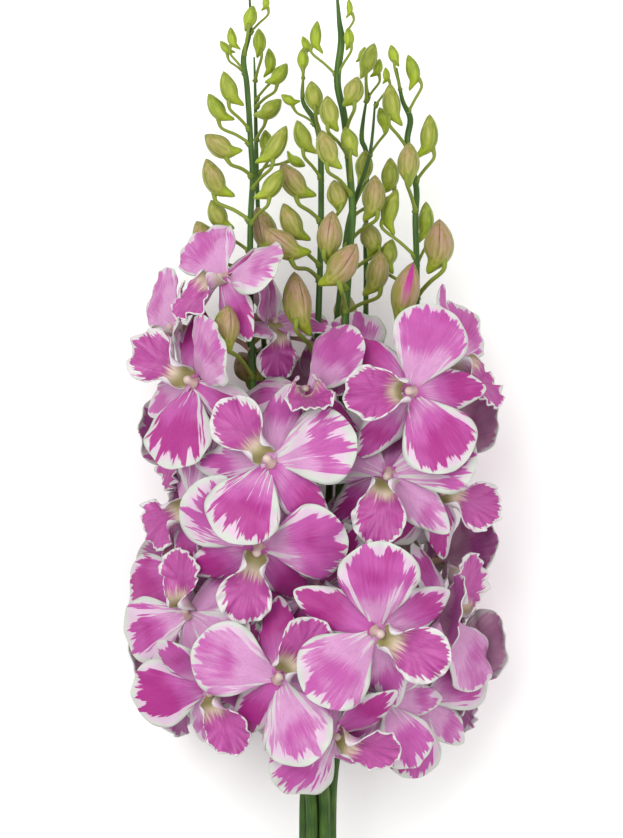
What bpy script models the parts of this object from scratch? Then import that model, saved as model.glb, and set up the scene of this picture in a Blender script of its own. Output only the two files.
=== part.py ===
"""A bunch of cut dendrobium sprays lying on its side: stems with their buds, open blooms and one tie.

The stems run along +Y towards their tips, +X is across the bunch, and the surface under it is z = 0.
"""

import math
import random
from typing import NamedTuple

import bmesh
import bpy
from mathutils import Matrix, Vector
from mathutils.bvhtree import BVHTree

MM = 0.001

# One pixel of the photograph, as it measures on the bunch, and where its axis and its lowest petals are.
PIXEL = 0.45 * MM
PHOTO_AXIS = 318
PHOTO_FOOT = 765

AXIS_HEIGHT = 60 * MM

# Bloom: a hub with six limbs on it.
HUB_RADIUS = 4 * MM
BLADE = 0.8 * MM
COLUMN_LENGTH = 6 * MM
SPUR_LENGTH = 3 * MM
PEDICEL_RADIUS = 1.1 * MM
PEDICEL_SIDES = 3
SEAT_GAP = 0.3 * MM
# How much of a petal under the bunch is pressed flat on the surface, measured as depth.
FOOT_DEPTH = 4.5 * MM

# Stems.
STALK_RADIUS = 2.7 * MM
RACHIS_SIDES = 6
# Shares of a stem's length that stay full, and over which it thins to its tip's share of the radius.
BARE_SHARE = 0.22
TAPER_SHARE = 0.6
TIP_SHARE = 0.6
STALK_PITCH = 5.95 * MM
STALK_END = -150 * MM
# Height of the middle of the bundle at its cut ends, where the lowest stalks touch the surface.
END_HEIGHT = 9.4 * MM
TIE_PLACE = -52 * MM
TIE_WIDTH = 9 * MM
TIE_WALL = 1.4 * MM
TIE_SIDES = 24
BUD_SIDES = 5
SMALL_BUD = 14
# A bud from its chin to its tip: places along it, how far it bows to its underside, and its radius.
BUD_ROWS = (0.0, 0.08, 0.36, 0.64, 0.88, 1.0)
BUD_BOW = (-0.02, 0.0, 0.1, 0.07, 0.0, -0.02)
BUD_GIRTH = (0.0, 0.22, 0.46, 0.54, 0.34, 0.0)

# Room that the layout keeps between neighbours, on each side of a petal.
PETAL_ROOM = 1.15 * MM
SEED = 41


class Limb(NamedTuple):
    """One limb of a bloom: its direction from the dorsal sepal, its size, and how it bends."""

    name: str
    angle: float
    length: float
    half_width: float
    claw: float
    peak: float
    point: float
    rise: float
    arch: float
    cup: float
    rows: tuple


class Bloom(NamedTuple):
    """An open bloom: photo position of its middle, height of its middle, lip direction and facing."""

    name: str
    across: float
    down: float
    height: float
    lip: float
    tilt: float
    toward: float
    scale: float = 1.0
    foot: bool = False


class Bud(NamedTuple):
    """A bud: its stem, photo positions of its tip and of its chin, its width, and height over its stem."""

    stem: str
    tip_across: float
    tip_down: float
    chin_across: float
    chin_down: float
    width: float
    lift: float = 0.0


class Stem(NamedTuple):
    """A flower stem: its slot in the tie, and photo positions and heights over the axis on its way up."""

    name: str
    slot: int
    girth: float
    way: tuple


PETAL_ROWS = (0.14, 0.4, 0.68, 0.91)
SEPAL_ROWS = (0.3, 0.7)
LIP_ROWS = (0.24, 0.46, 0.76)

LIMBS = (
    Limb("dorsal", 0, 36 * MM, 9.5 * MM, 0.36, 0.48, 1.25, -14, -10, -1.5 * MM, SEPAL_ROWS),
    Limb("petal_left", 66, 37 * MM, 17.5 * MM, 0.2, 0.6, 2.0, 24, -30, -2.0 * MM, PETAL_ROWS),
    Limb("lateral_left", 130, 34 * MM, 9.5 * MM, 0.36, 0.45, 1.2, -16, -14, -1.5 * MM, SEPAL_ROWS),
    Limb("lip", 180, 31 * MM, 12.5 * MM, 0.5, 0.66, 1.7, 30, -26, 2.0 * MM, LIP_ROWS),
    Limb("lateral_right", 230, 34 * MM, 9.5 * MM, 0.36, 0.45, 1.2, -16, -14, -1.5 * MM, SEPAL_ROWS),
    Limb("petal_right", 294, 37 * MM, 17.5 * MM, 0.2, 0.6, 2.0, 24, -30, -2.0 * MM, PETAL_ROWS),
)

# The blooms, front ones first as they are seen, then those of the sides, the back and the underside.
BLOOMS = (
    Bloom("bloom_01", 375, 626, 117, -25, 8, -60, 1.04),
    Bloom("bloom_02", 408, 392, 108, 185, 14, 20),
    Bloom("bloom_03", 271, 461, 112, 130, 12, 150),
    Bloom("bloom_11", 226, 280, 90, -110, 56, 132, 0.86),
    Bloom("bloom_04", 195, 383, 90, 150, 32, 165),
    Bloom("bloom_13", 305, 392, 97, -85, 48, 90, 0.92),
    Bloom("bloom_05", 259, 545, 105, -105, 18, -100),
    Bloom("bloom_06", 280, 673, 106, 45, 18, 190),
    Bloom("bloom_07", 334, 730, 106, -20, 36, -85, 0.9),
    Bloom("bloom_08", 382, 697, 96, 180, 22, 0, 0.95),
    Bloom("bloom_09", 386, 472, 103, -95, 16, 150),
    Bloom("bloom_10", 435, 489, 90, -20, 34, -10),
    Bloom("bloom_12", 352, 368, 84, -150, 22, 90, 0.9),
    Bloom("bloom_14", 453, 358, 70, -60, 62, 35, 0.9),
    Bloom("bloom_15", 444, 532, 64, -80, 66, 5, 0.92),
    Bloom("bloom_16", 444, 615, 74, 40, 56, 0, 0.95),
    Bloom("bloom_17", 432, 704, 78, 140, 24, -20, 0.95),
    Bloom("bloom_18", 190, 612, 82, 85, 38, 180, 0.9),
    Bloom("bloom_19", 172, 570, 66, 85, 52, 175, 0.92),
    Bloom("bloom_20", 203, 505, 84, 200, 50, 190, 0.95),
    Bloom("bloom_21", 204, 686, 84, -60, 26, 215, 0.92),
    Bloom("bloom_22", 236, 712, 88, 75, 18, 240, 0.82),
    Bloom("bloom_23", 176, 326, 58, -120, 66, 165, 0.85),
    Bloom("bloom_24", 172, 430, 58, -120, 70, 185, 0.85),
    Bloom("bloom_25", 258, 318, 66, -90, 48, 70, 0.85),
    Bloom("bloom_26", 318, 585, 84, -60, 14, 90, 0.9),
    Bloom("bloom_27", 190, 672, 30, 90, 128, 180, 0.95, True),
    Bloom("bloom_28", 452, 668, 30, 90, 128, 0, 0.95, True),
    Bloom("bloom_29", 196, 452, 30, 80, 130, 180, 0.95, True),
    Bloom("bloom_30", 440, 440, 30, 80, 130, 0, 0.95, True),
    Bloom("bloom_31", 316, 560, 26, 90, 160, 90, 0.95, True),
    Bloom("bloom_32", 318, 690, 30, 95, 152, -90, 0.95),
    Bloom("bloom_33", 205, 568, 36, 80, 124, 185, 0.9),
    Bloom("bloom_34", 430, 552, 36, 90, 122, 0, 0.9),
    Bloom("bloom_35", 318, 400, 34, 90, 140, 90, 0.9),
)

# The first few buds are placed first, then the first few blooms, the other buds, and the front blooms before
# those that the bunch lies on.
FIRST_BUDS = 3
FIRST_BLOOMS = 5
FRONT_BLOOMS = 13

STEMS = (
    Stem("a", 2, 0.8, ((300, 740, 8), (275, 620, 8), (258, 480, 10), (251, 330, 12), (251, 219, 14),
                       (253, 179, 14), (251, 143, 14), (249, 110, 14), (247, 84, 14), (244, 60, 14),
                       (251, 31, 14), (250, 2, 14))),
    Stem("b", 3, 0.62, ((306, 740, -8), (290, 620, -12), (272, 480, -14), (263, 330, -14), (258, 220, -12),
                        (256, 150, -10), (255, 90, -8), (254, 56, -6))),
    Stem("c", 0, 0.85, ((316, 740, 2), (314, 620, 2), (314, 480, 3), (318, 330, 6), (320, 270, 8),
                        (321, 219, 9), (321, 173, 9), (320, 143, 9), (315, 122, 9), (303, 103, 9),
                        (303, 80, 9))),
    Stem("d", 1, 1.0, ((322, 740, 12), (332, 620, 16), (340, 480, 18), (345, 320, 20), (352, 219, 22),
                       (351, 194, 22), (346, 138, 22), (343, 115, 22), (337, 84, 22), (341, 46, 22),
                       (339, 25, 22), (337, 2, 22))),
    Stem("e", 5, 0.7, ((330, 740, -10), (346, 620, -14), (360, 480, -16), (366, 330, -16), (366, 240, -14),
                       (367, 158, -12), (362, 138, -12), (364, 115, -12), (368, 92, -12))),
    Stem("f", 6, 0.85, ((338, 740, 4), (366, 620, 6), (396, 480, 6), (415, 330, 8), (415, 219, 8),
                        (416, 189, 8), (407, 145, 8), (410, 120, 8), (402, 101, 8), (396, 69, 8))),
    Stem("g", 4, 0.72, ((318, 740, -20), (322, 620, -24), (330, 480, -20), (336, 330, -8), (348, 225, 2),
                        (357, 194, 3), (370, 153, 4), (375, 102, 4))),
)

BUDS = (
    Bud("a", 229, 307, 230, 355, 25, 30),
    Bud("b", 238, 353, 262, 381, 26, 40),
    Bud("b", 256, 313, 250, 348, 22, 24),
    Bud("a", 267, -2, 263, 14, 7),
    Bud("a", 254, 9, 246, 35, 13),
    Bud("b", 259, 28, 258, 58, 13, 4),
    Bud("a", 230, 30, 239, 53, 9),
    Bud("a", 220, 43, 235, 55, 8, -6),
    Bud("b", 270, 47, 266, 77, 11),
    Bud("b", 288, 64, 266, 84, 14, 5),
    Bud("a", 223, 75, 242, 110, 16, 4),
    Bud("a", 208, 97, 233, 124, 15),
    Bud("b", 282, 100, 254, 117, 16, 6),
    Bud("a", 205, 139, 242, 156, 20, 6),
    Bud("b", 266, 128, 262, 156, 13, -4),
    Bud("a", 288, 130, 258, 168, 17, 8),
    Bud("a", 205, 161, 232, 200, 20, -4),
    Bud("b", 305, 165, 286, 150, 10, -8),
    Bud("a", 284, 173, 256, 203, 17, 10),
    Bud("a", 210, 201, 232, 231, 18, -8),
    Bud("a", 195, 222, 222, 255, 22, 6),
    Bud("a", 258, 207, 268, 262, 24, 12),
    Bud("c", 281, 97, 300, 104, 9),
    Bud("c", 302, 38, 312, 55, 8),
    Bud("c", 303, 50, 303, 76, 11, 5),
    Bud("d", 316, 25, 320, 58, 11),
    Bud("c", 311, 84, 318, 118, 17, 10),
    Bud("d", 326, 101, 336, 137, 18, 12),
    Bud("c", 296, 123, 315, 157, 16, 6),
    Bud("d", 320, 136, 339, 175, 20, 14),
    Bud("d", 344, 131, 356, 161, 16, 8),
    Bud("c", 280, 166, 314, 200, 22, 12),
    Bud("c", 334, 182, 340, 215, 20, 14),
    Bud("d", 349, 3, 347, 23, 6),
    Bud("d", 348, 32, 347, 55, 10, 4),
    Bud("e", 375, 42, 361, 78, 16, 4),
    Bud("d", 358, 82, 344, 112, 19, 10),
    Bud("e", 381, 57, 372, 76, 9),
    Bud("e", 366, 44, 357, 60, 7, -5),
    Bud("g", 386, 68, 384, 85, 7),
    Bud("g", 380, 107, 386, 134, 12, -6),
    Bud("g", 376, 177, 366, 224, 22, 12),
    Bud("g", 366, 150, 360, 186, 17, -10),
    Bud("g", 366, 222, 372, 258, 20, 6),
    Bud("c", 282, 206, 308, 244, 20, 8),
    Bud("c", 264, 233, 310, 258, 24, 4),
    Bud("d", 331, 214, 331, 268, 24, 10),
    Bud("d", 357, 248, 320, 290, 27, 14),
    Bud("c", 293, 274, 308, 338, 27, 20),
    Bud("f", 390, 47, 398, 69, 10, 4),
    Bud("f", 409, 56, 412, 92, 13),
    Bud("f", 388, 86, 399, 129, 17, 6),
    Bud("f", 431, 116, 419, 161, 17),
    Bud("f", 408, 145, 408, 190, 21, 12),
    Bud("g", 392, 158, 382, 196, 17, -4),
    Bud("f", 395, 190, 390, 236, 16, 4),
    Bud("f", 427, 202, 420, 244, 15, -6),
    Bud("f", 440, 221, 430, 276, 28, 8),
    Bud("g", 382, 252, 366, 298, 22, 8),
    Bud("f", 391, 239, 390, 274, 17, -4),
    Bud("f", 412, 264, 396, 328, 26, 14),
    Bud("e", 345, 292, 352, 330, 22, -4),
)

MATERIALS = {
    "stem": ((0.09, 0.2, 0.05), 0.5),
    "petal": ((0.62, 0.12, 0.46), 0.55),
    "tie": ((0.1, 0.22, 0.08), 0.6),
}


def at_photo(across: float, down: float, height: float) -> Vector:
    """The point on the bunch that the photograph shows at this place, at this height."""
    return Vector(((across - PHOTO_AXIS) * PIXEL, (PHOTO_FOOT - down) * PIXEL, height))


# Shape of a limb.


def half_width(limb: Limb, along: float) -> float:
    """Half the width of a limb at a share of its length."""
    if along < limb.peak:
        swell = math.sin(along / limb.peak * math.pi / 2) ** 1.25
        return limb.half_width * (limb.claw + (1 - limb.claw) * swell)
    rest = (along - limb.peak) / (1 - limb.peak)
    return limb.half_width * max(0.0, 1 - rest**limb.point) ** 0.62


def lip_fold(limb: Limb, along: float) -> tuple[float, float]:
    """How much wider and how much more rolled up the lip is where its side lobes stand."""
    if limb.name != "lip":
        return 1.0, 0.0
    lobe = math.exp(-(((along - 0.24) / 0.13) ** 2))
    return 1.0 + 0.12 * lobe, 6.5 * MM * lobe


def limb_point(limb: Limb, bend: float, along: float, aside: float, scale: float) -> Vector:
    """A point of a limb: `along` runs 0 to 1 from hub to tip, `aside` -1 to 1 across."""
    start = math.radians(limb.rise + bend)
    turn = math.radians(limb.arch)
    slope = start + turn * along
    out = HUB_RADIUS + limb.length * (math.sin(slope) - math.sin(start)) / turn
    up = limb.length * (math.cos(start) - math.cos(slope)) / turn
    wider, rolled = lip_fold(limb, along)
    side = aside * half_width(limb, along) * wider
    lift = limb.cup * math.sin(math.pi * min(1.0, along)) * aside**2 + rolled * abs(aside) ** 1.5
    out -= math.sin(slope) * lift
    up += math.cos(slope) * lift
    angle = math.radians(limb.angle)
    return scale * Vector(
        (-math.sin(angle) * out - math.cos(angle) * side, math.cos(angle) * out - math.sin(angle) * side, up)
    )


def limb_grid(limb: Limb, bend: float, scale: float) -> list[list[Vector]]:
    """Rows of three points up a limb, and its tip as a row of one."""
    rows = [[limb_point(limb, bend, along, aside, scale) for aside in (-1, 0, 1)] for along in limb.rows]
    return rows + [[limb_point(limb, bend, 1.0, 0, scale)]]


def hub_ring(scale: float) -> list[Vector]:
    """Twelve points round the hub: a corner between each two limbs, and the middle of each limb's root."""
    ring = []
    for index, limb in enumerate(LIMBS):
        before = LIMBS[index - 1].angle - (360 if index == 0 else 0)
        for angle in ((before + limb.angle) / 2, limb.angle):
            turned = math.radians(angle)
            ring.append(scale * HUB_RADIUS * Vector((-math.sin(turned), math.cos(turned), 0)))
    return ring


def strip_faces(rows: list[list[int]]) -> list[tuple[int, int, int]]:
    """Triangles between rows of three point numbers and a last row of one."""
    faces = []
    for low, high in zip(rows, rows[1:]):
        if len(high) == 1:
            faces += [(low[1], low[0], high[0]), (low[2], low[1], high[0])]
            continue
        for side in (0, 1):
            a, b, c, d = low[side], low[side + 1], high[side + 1], high[side]
            faces += [(b, a, c), (c, a, d)] if side else [(b, a, d), (c, b, d)]
    return faces


def facing(bloom: Bloom) -> Matrix:
    """Turns a bloom's own axes to those of the bunch: +Z out of its face, +Y to its dorsal sepal."""
    tilt, toward, lip = (math.radians(angle) for angle in (bloom.tilt, bloom.toward, bloom.lip))
    out = Vector((math.sin(tilt) * math.cos(toward), math.sin(tilt) * math.sin(toward), math.cos(tilt)))
    dorsal = Vector((-math.cos(lip), -math.sin(lip), 0))
    if bloom.tilt > 100:
        dorsal = Vector((0, 1, 0)) if abs(out.y) < 0.8 else Vector((1, 0, 0))
    dorsal = (dorsal - dorsal.dot(out) * out).normalized()
    return Matrix((dorsal.cross(out), dorsal, out)).transposed()


# Tubes: stalks, pedicels and buds.


def bezier(a: Vector, b: Vector, c: Vector, d: Vector, steps: int) -> list[Vector]:
    """Points on a cubic curve."""
    points = []
    for step in range(steps + 1):
        t = step / steps
        s = 1 - t
        points.append(a * s**3 + b * 3 * s * s * t + c * 3 * s * t * t + d * t**3)
    return points


def tube(points: list[Vector], radii: list[float], sides: int) -> tuple[list[Vector], list[tuple]]:
    """A closed tube round a line of points. A radius of 0 at either end makes a point of that end."""
    verts, rings = [], []
    side_way = Vector((0.5, 0.0, 0.75**0.5))
    for index, (point, radius) in enumerate(zip(points, radii)):
        way = (points[min(index + 1, len(points) - 1)] - points[max(index - 1, 0)]).normalized()
        side_way = side_way - side_way.dot(way) * way
        if side_way.length < 0.1:
            side_way = way.orthogonal()
        side_way.normalize()
        other = way.cross(side_way)
        if radius == 0:
            rings.append([len(verts)])
            verts.append(point.copy())
            continue
        rings.append(list(range(len(verts), len(verts) + sides)))
        for side in range(sides):
            angle = math.tau * side / sides
            verts.append(point + radius * (math.cos(angle) * side_way + math.sin(angle) * other))
    faces = []
    for low, high in zip(rings, rings[1:]):
        for side in range(sides):
            after = (side + 1) % sides
            if len(low) > 1:
                faces.append((low[side], low[after], high[0] if len(high) == 1 else high[after]))
            if len(high) > 1:
                faces.append((low[0] if len(low) == 1 else low[side], high[after], high[side]))
    for ring, order in ((rings[0], -1), (rings[-1], 1)):
        if len(ring) > 1:
            cap = ring[::order]
            faces += [(cap[0], cap[index], cap[index + 1]) for index in range(1, sides - 1)]
    return verts, faces


def smooth_line(points: list[Vector], steps: int) -> list[Vector]:
    """A line through the points, with this many steps from each to the next."""
    line = []
    for index in range(len(points) - 1):
        before = points[max(index - 1, 0)]
        here, there = points[index], points[index + 1]
        after = points[min(index + 2, len(points) - 1)]
        line += bezier(here, here + (there - before) / 6, there - (after - here) / 6, there, steps)[:-1]
    return line + [points[-1]]


# Layout: each thing is placed so that it is clear of all that is placed already.


class Room:
    """What is placed already, as triangles to test against."""

    def __init__(self) -> None:
        self.verts: list[Vector] = []
        self.faces: list[tuple] = []
        self.tree = None

    def add(self, verts: list[Vector], faces: list[tuple]) -> None:
        """Adds a mesh to what is placed."""
        base = len(self.verts)
        self.verts += verts
        self.faces += [tuple(base + corner for corner in face) for face in faces]
        self.tree = BVHTree.FromPolygons(self.verts, self.faces, all_triangles=True)

    def clear(self, verts: list[Vector], faces: list[tuple]) -> bool:
        """True when the mesh crosses nothing that is placed."""
        if self.tree is None:
            return True
        return not self.tree.overlap(BVHTree.FromPolygons(verts, faces, all_triangles=True))


def thick(points: list[Vector], faces: list[tuple], room: float, foot: bool = False) -> tuple[list, list]:
    """A sheet of triangles made into a closed body that reaches `room` to each side of it."""
    normals = [Vector((0, 0, 0)) for _ in points]
    uses: dict[tuple, int] = {}
    for a, b, c in faces:
        normal = (points[b] - points[a]).cross(points[c] - points[a])
        for corner in (a, b, c):
            normals[corner] += normal
        for edge in ((a, b), (b, c), (c, a)):
            uses[edge] = uses.get(edge, 0) + 1
    for point, normal in zip(points, normals):
        if foot and point.z <= BLADE / 2:
            normal.x = normal.y = 0.0
    count = len(points)
    front = [point + normal.normalized() * room for point, normal in zip(points, normals)]
    back = [point - normal.normalized() * room for point, normal in zip(points, normals)]
    solid = list(faces) + [(a + count, c + count, b + count) for a, b, c in faces]
    for a, b in uses:
        if (b, a) not in uses:
            solid += [(a, a + count, b + count), (a, b + count, b)]
    return front + back, solid


class Placed(NamedTuple):
    """A bloom as placed: turn, middle, and the bend of each limb."""

    bloom: Bloom
    turn: Matrix
    middle: Vector
    bends: tuple


def to_bunch(placed_turn: Matrix, middle: Vector, points: list[Vector], foot: bool) -> list[Vector]:
    """Points of a bloom in the bunch. On a foot bloom what reaches the surface lies flat on it."""
    moved = [placed_turn @ point + middle for point in points]
    if foot:
        for point in moved:
            point.z = max(point.z, BLADE / 2)
    return moved


def bloom_mesh(placed: Placed, reach: float) -> tuple[list[Vector], list[tuple]]:
    """A bloom as one closed body: a hub and six limbs that share its edge, with a column and a spur."""
    bloom = placed.bloom
    points = [Vector((0, 0, 0))] + hub_ring(bloom.scale)
    faces = [(0, 1 + index, 1 + (index + 1) % 12) for index in range(12)]
    for index, (limb, bend) in enumerate(zip(LIMBS, placed.bends)):
        rows = [[1 + 2 * index, 2 + 2 * index, 1 + (2 * index + 2) % 12]]
        for row in limb_grid(limb, bend, bloom.scale):
            rows.append(list(range(len(points), len(points) + len(row))))
            points += row
        faces += strip_faces(rows)
    moved = to_bunch(placed.turn, placed.middle, points, bloom.foot)
    verts, solid = thick(moved, faces, reach, bloom.foot)
    out = placed.turn @ Vector((0, 0, 1))
    verts[0] = placed.middle + out * COLUMN_LENGTH * bloom.scale
    verts[len(points)] = placed.middle - out * SPUR_LENGTH * bloom.scale
    for vert in verts:
        vert.z = max(vert.z, 0.0)
    return verts, solid


def limb_body(limb: Limb, bend: float, bloom: Bloom, turn: Matrix, middle: Vector, rooted: bool):
    """The closed body of one limb in the bunch with room round it, with or without its root on the hub."""
    points, rows = [], []
    grid = limb_grid(limb, bend, bloom.scale)
    if rooted:
        first = 2 * LIMBS.index(limb)
        ring = hub_ring(bloom.scale)
        grid.insert(0, [ring[first], ring[first + 1], ring[(first + 2) % 12]])
    for row in grid:
        rows.append(list(range(len(points), len(points) + len(row))))
        points += row
    return thick(to_bunch(turn, middle, points, bloom.foot), strip_faces(rows), PETAL_ROOM, bloom.foot)


# What the layout tries in turn: bends of a limb, moves of a bloom along its facing and over the photo, and
# how far down the stem a pedicel may start.
BENDS = (0, 9, -9, 18, -18, 28, -28, 38, -38, 50, -50, 62, -62)
PUSHES = (0, -3, 3, -6, 6, -9, 9, -12, 12, -16, 16, -20, 20, -25)
SHIFTS = ((0, 0), (-8, 0), (8, 0), (0, -8), (0, 8), (-14, -10), (14, -10), (-14, 10), (14, 10))
SIZES = (1.0, 0.92, 0.84)
SIZE_COST, PUSH_IN_COST, PUSH_OUT_COST, BEND_COST = 70, 0.8, 1.3, 0.07
TRIES = sorted(
    (
        math.hypot(across, down) + SIZE_COST * (1 - size) + max(-PUSH_IN_COST * push, PUSH_OUT_COST * push),
        size,
        across,
        down,
        push,
    )
    for size in SIZES
    for across, down in SHIFTS
    for push in PUSHES
)
ATTACH = (24, 12, 36, 2, 48, -10)


class Layout:
    """Works out where every stem, bud and bloom goes."""

    def __init__(self) -> None:
        self.random = random.Random(SEED)
        self.rooms = {name: Room() for name in ["blooms"] + [stem.name for stem in STEMS]}
        self.lines: dict[str, list[Vector]] = {}
        self.radii: dict[str, list[float]] = {}
        self.twigs: dict[str, list] = {stem.name: [] for stem in STEMS}
        self.buds: list[tuple[Bud, list[Vector]]] = []
        self.blooms: list[Placed] = []
        self.failed: list[str] = []

    def run(self) -> None:
        """Places everything, the most visible first."""
        for stem in STEMS:
            self.place_stem(stem)
        for bud in BUDS[:FIRST_BUDS]:
            self.place_bud(bud)
        for bloom in BLOOMS[:FIRST_BLOOMS]:
            self.place_bloom(bloom)
        for bud in BUDS[FIRST_BUDS:]:
            self.place_bud(bud)
        feet = [bloom for bloom in BLOOMS if bloom.foot]
        rest = [bloom for bloom in BLOOMS[FRONT_BLOOMS:] if not bloom.foot]
        for bloom in list(BLOOMS[FIRST_BLOOMS:FRONT_BLOOMS]) + feet + rest:
            self.place_bloom(bloom)

    def clear(self, body: tuple, but: str = "") -> bool:
        """True when a closed mesh crosses nothing that is placed, leaving out one stem if it is named."""
        return all(room.clear(*body) for name, room in self.rooms.items() if name != but)

    def place_stem(self, stem: Stem) -> None:
        """Works out the line of a stem, from its cut end through the tie to its tip."""
        ring = Vector((0, 0, 0))
        if stem.slot > 0:
            angle = math.radians(60 * stem.slot)
            ring = STALK_PITCH * Vector((math.cos(angle), 0, math.sin(angle)))
        points = []
        for place in (STALK_END, -100 * MM, TIE_PLACE, -18 * MM):
            spread = 1.0 + 0.45 * max(0.0, (TIE_PLACE - place) / (TIE_PLACE - STALK_END))
            points.append(Vector((0, place, stalk_height(place))) + ring * spread)
        points[0].y += self.random.uniform(-6, 8) * MM
        points += [at_photo(across, down, AXIS_HEIGHT + lift * MM) for across, down, lift in stem.way]
        line = points[:2] + smooth_line(points[2:9], 2) + points[9:]
        lowest, highest = line[0].y, line[-1].y
        radii = []
        for point in line:
            up = (point.y - lowest) / (highest - lowest)
            thinned = min(1.0, max(0.0, up - BARE_SHARE) / TAPER_SHARE)
            radii.append(STALK_RADIUS * (1 - (1 - TIP_SHARE * stem.girth) * thinned))
        radii[-1] *= 0.4
        radii[-2] *= 0.7
        self.lines[stem.name] = line
        self.radii[stem.name] = radii
        self.rooms[stem.name].add(*tube(line, [radius + 0.25 * MM for radius in radii], RACHIS_SIDES))

    def on_stem(self, name: str, place: float) -> Vector:
        """The middle of a stem at a distance along the bunch."""
        line = self.lines[name]
        for low, high in zip(line, line[1:]):
            if low.y <= place <= high.y:
                return low.lerp(high, (place - low.y) / max(high.y - low.y, 1e-6))
        return line[-1].copy() if place > line[-1].y else line[0].copy()

    def place_bud(self, bud: Bud) -> None:
        """Finds a height at which the bud and its pedicel are clear of the rest."""
        for step in (0, 4, -4, 8, -8, 12, -12, 16, -16, 21, -21, 26, -26, 32, -32):
            for low in (22, 34, 12, 46):
                body, stalk = self.bud_lines(bud, bud.lift + step, low)
                if self.try_bud(bud, body, stalk):
                    return
        self.failed.append(f"bud {bud.stem} {bud.tip_across},{bud.tip_down}")

    def bud_lines(self, bud: Bud, lift: float, low: float) -> tuple[list[Vector], list[Vector]]:
        """The middle lines of a bud, chin to tip, and of its pedicel, bud to stem."""
        near = self.on_stem(bud.stem, at_photo(0, bud.chin_down, 0).y)
        height = near.z + lift * MM
        chin = at_photo(bud.chin_across, bud.chin_down, height)
        tip = at_photo(bud.tip_across, bud.tip_down, height)
        tip.z += 0.12 * (tip - chin).length
        length, way = (tip - chin).length, (tip - chin).normalized()
        outward = Vector((chin.x - near.x, 0, chin.z - near.z)).normalized()
        under = outward * 0.5 + Vector((0, -1, 0))
        under = (under - under.dot(way) * way).normalized()
        body = [chin + way * length * along + under * length * bow for along, bow in zip(BUD_ROWS, BUD_BOW)]
        joint = body[2] - way * 0.04 * length + under * 0.3 * bud.width * PIXEL
        root = self.on_stem(bud.stem, chin.y - low * PIXEL)
        reach = (joint - root).length
        leave = joint + (under * 0.8 - way * 0.3) * 0.4 * reach
        arrive = root + Vector((joint.x - root.x, 0, joint.z - root.z)) * 0.3 + Vector((0, 0.3 * reach, 0))
        return body, bezier(joint, leave, arrive, root, 3)

    def try_bud(self, bud: Bud, body: list[Vector], stalk: list[Vector]) -> bool:
        """Keeps the bud when it is clear of all, and its pedicel of all but its own stem."""
        width = bud.width * PIXEL
        radii = [width * share for share in BUD_GIRTH]
        grown = [0.0] + [radius + 0.5 * MM for radius in radii[1:-1]] + [0.0]
        thin = max(0.55 * MM, min(1.0 * MM, 0.055 * width + 0.35 * MM))
        sides = BUD_SIDES if bud.width > SMALL_BUD else BUD_SIDES - 1
        test_body = tube(body, grown, sides)
        test_stalk = tube(stalk, [thin + 0.4 * MM] * 4, PEDICEL_SIDES)
        if not self.clear(test_body) or not self.clear(test_stalk, bud.stem):
            return False
        self.rooms[bud.stem].add(*test_body)
        self.rooms[bud.stem].add(*test_stalk)
        self.twigs[bud.stem].append((tube(body, radii, sides), tube(stalk, [thin] * 4, 3)))
        self.buds.append((bud, body + stalk))
        return True

    def place_bloom(self, bloom: Bloom) -> None:
        """Finds a place and limb bends at which the bloom and its pedicel are clear of the rest."""
        turn = facing(bloom)
        out = turn @ Vector((0, 0, 1))
        jitter = [self.random.uniform(-5, 5) for _ in LIMBS]
        start = at_photo(bloom.across, bloom.down, bloom.height * MM)
        if bloom.foot:
            rows = [row for limb, slack in zip(LIMBS, jitter) for row in limb_grid(limb, slack, bloom.scale)]
            start.z = -min((turn @ point).z for row in rows for point in row) - FOOT_DEPTH
        best, found = 1e9, None
        for cost, smaller, across, down, push in TRIES:
            if cost >= best:
                break
            sized = bloom._replace(scale=bloom.scale * smaller)
            middle = start + (Vector((out.x, out.y, 0)) if bloom.foot else out) * push * MM
            middle += Vector((across, -down, 0)) * PIXEL
            placed = self.try_bloom(sized, turn, middle, jitter)
            if placed is None:
                continue
            total = cost + BEND_COST * sum(abs(bend - slack) for bend, slack in zip(placed[0].bends, jitter))
            if total < best:
                best, found = total, placed
        if found is None:
            self.failed.append(bloom.name)
            return
        placed, name, stalk = found
        self.rooms["blooms"].add(*bloom_mesh(placed, BLADE / 2 + 0.3 * MM))
        self.rooms[name].add(*tube(stalk, [PEDICEL_RADIUS + 0.4 * MM] * 5, PEDICEL_SIDES))
        self.twigs[name].append((tube(stalk, [PEDICEL_RADIUS] * 5, PEDICEL_SIDES),))
        self.blooms.append(placed)

    def try_bloom(self, bloom: Bloom, turn: Matrix, middle: Vector, jitter: list[float]):
        """The bloom with its middle here and its pedicel, or None where a limb finds no clear bend."""
        own = Room()
        bends = {}
        for limb, slack in sorted(zip(LIMBS, jitter), key=lambda pair: "petal" not in pair[0].name):
            for bend in BENDS:
                body = limb_body(limb, bend + slack, bloom, turn, middle, True)
                if not bloom.foot and min(point.z for point in body[0]) < 1 * MM:
                    continue
                outer = limb_body(limb, bend + slack, bloom, turn, middle, False)
                if self.clear(body) and own.clear(*outer):
                    break
            else:
                return None
            own.add(*outer)
            bends[limb.name] = bend + slack
        placed = Placed(bloom, turn, middle, tuple(bends[limb.name] for limb in LIMBS))
        whole = bloom_mesh(placed, BLADE / 2 + 0.3 * MM)
        if not self.clear(whole):
            return None
        own.add(*whole)
        pedicel = self.find_pedicel(bloom, middle, turn @ Vector((0, 0, 1)), own)
        return (placed, *pedicel) if pedicel else None

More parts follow.
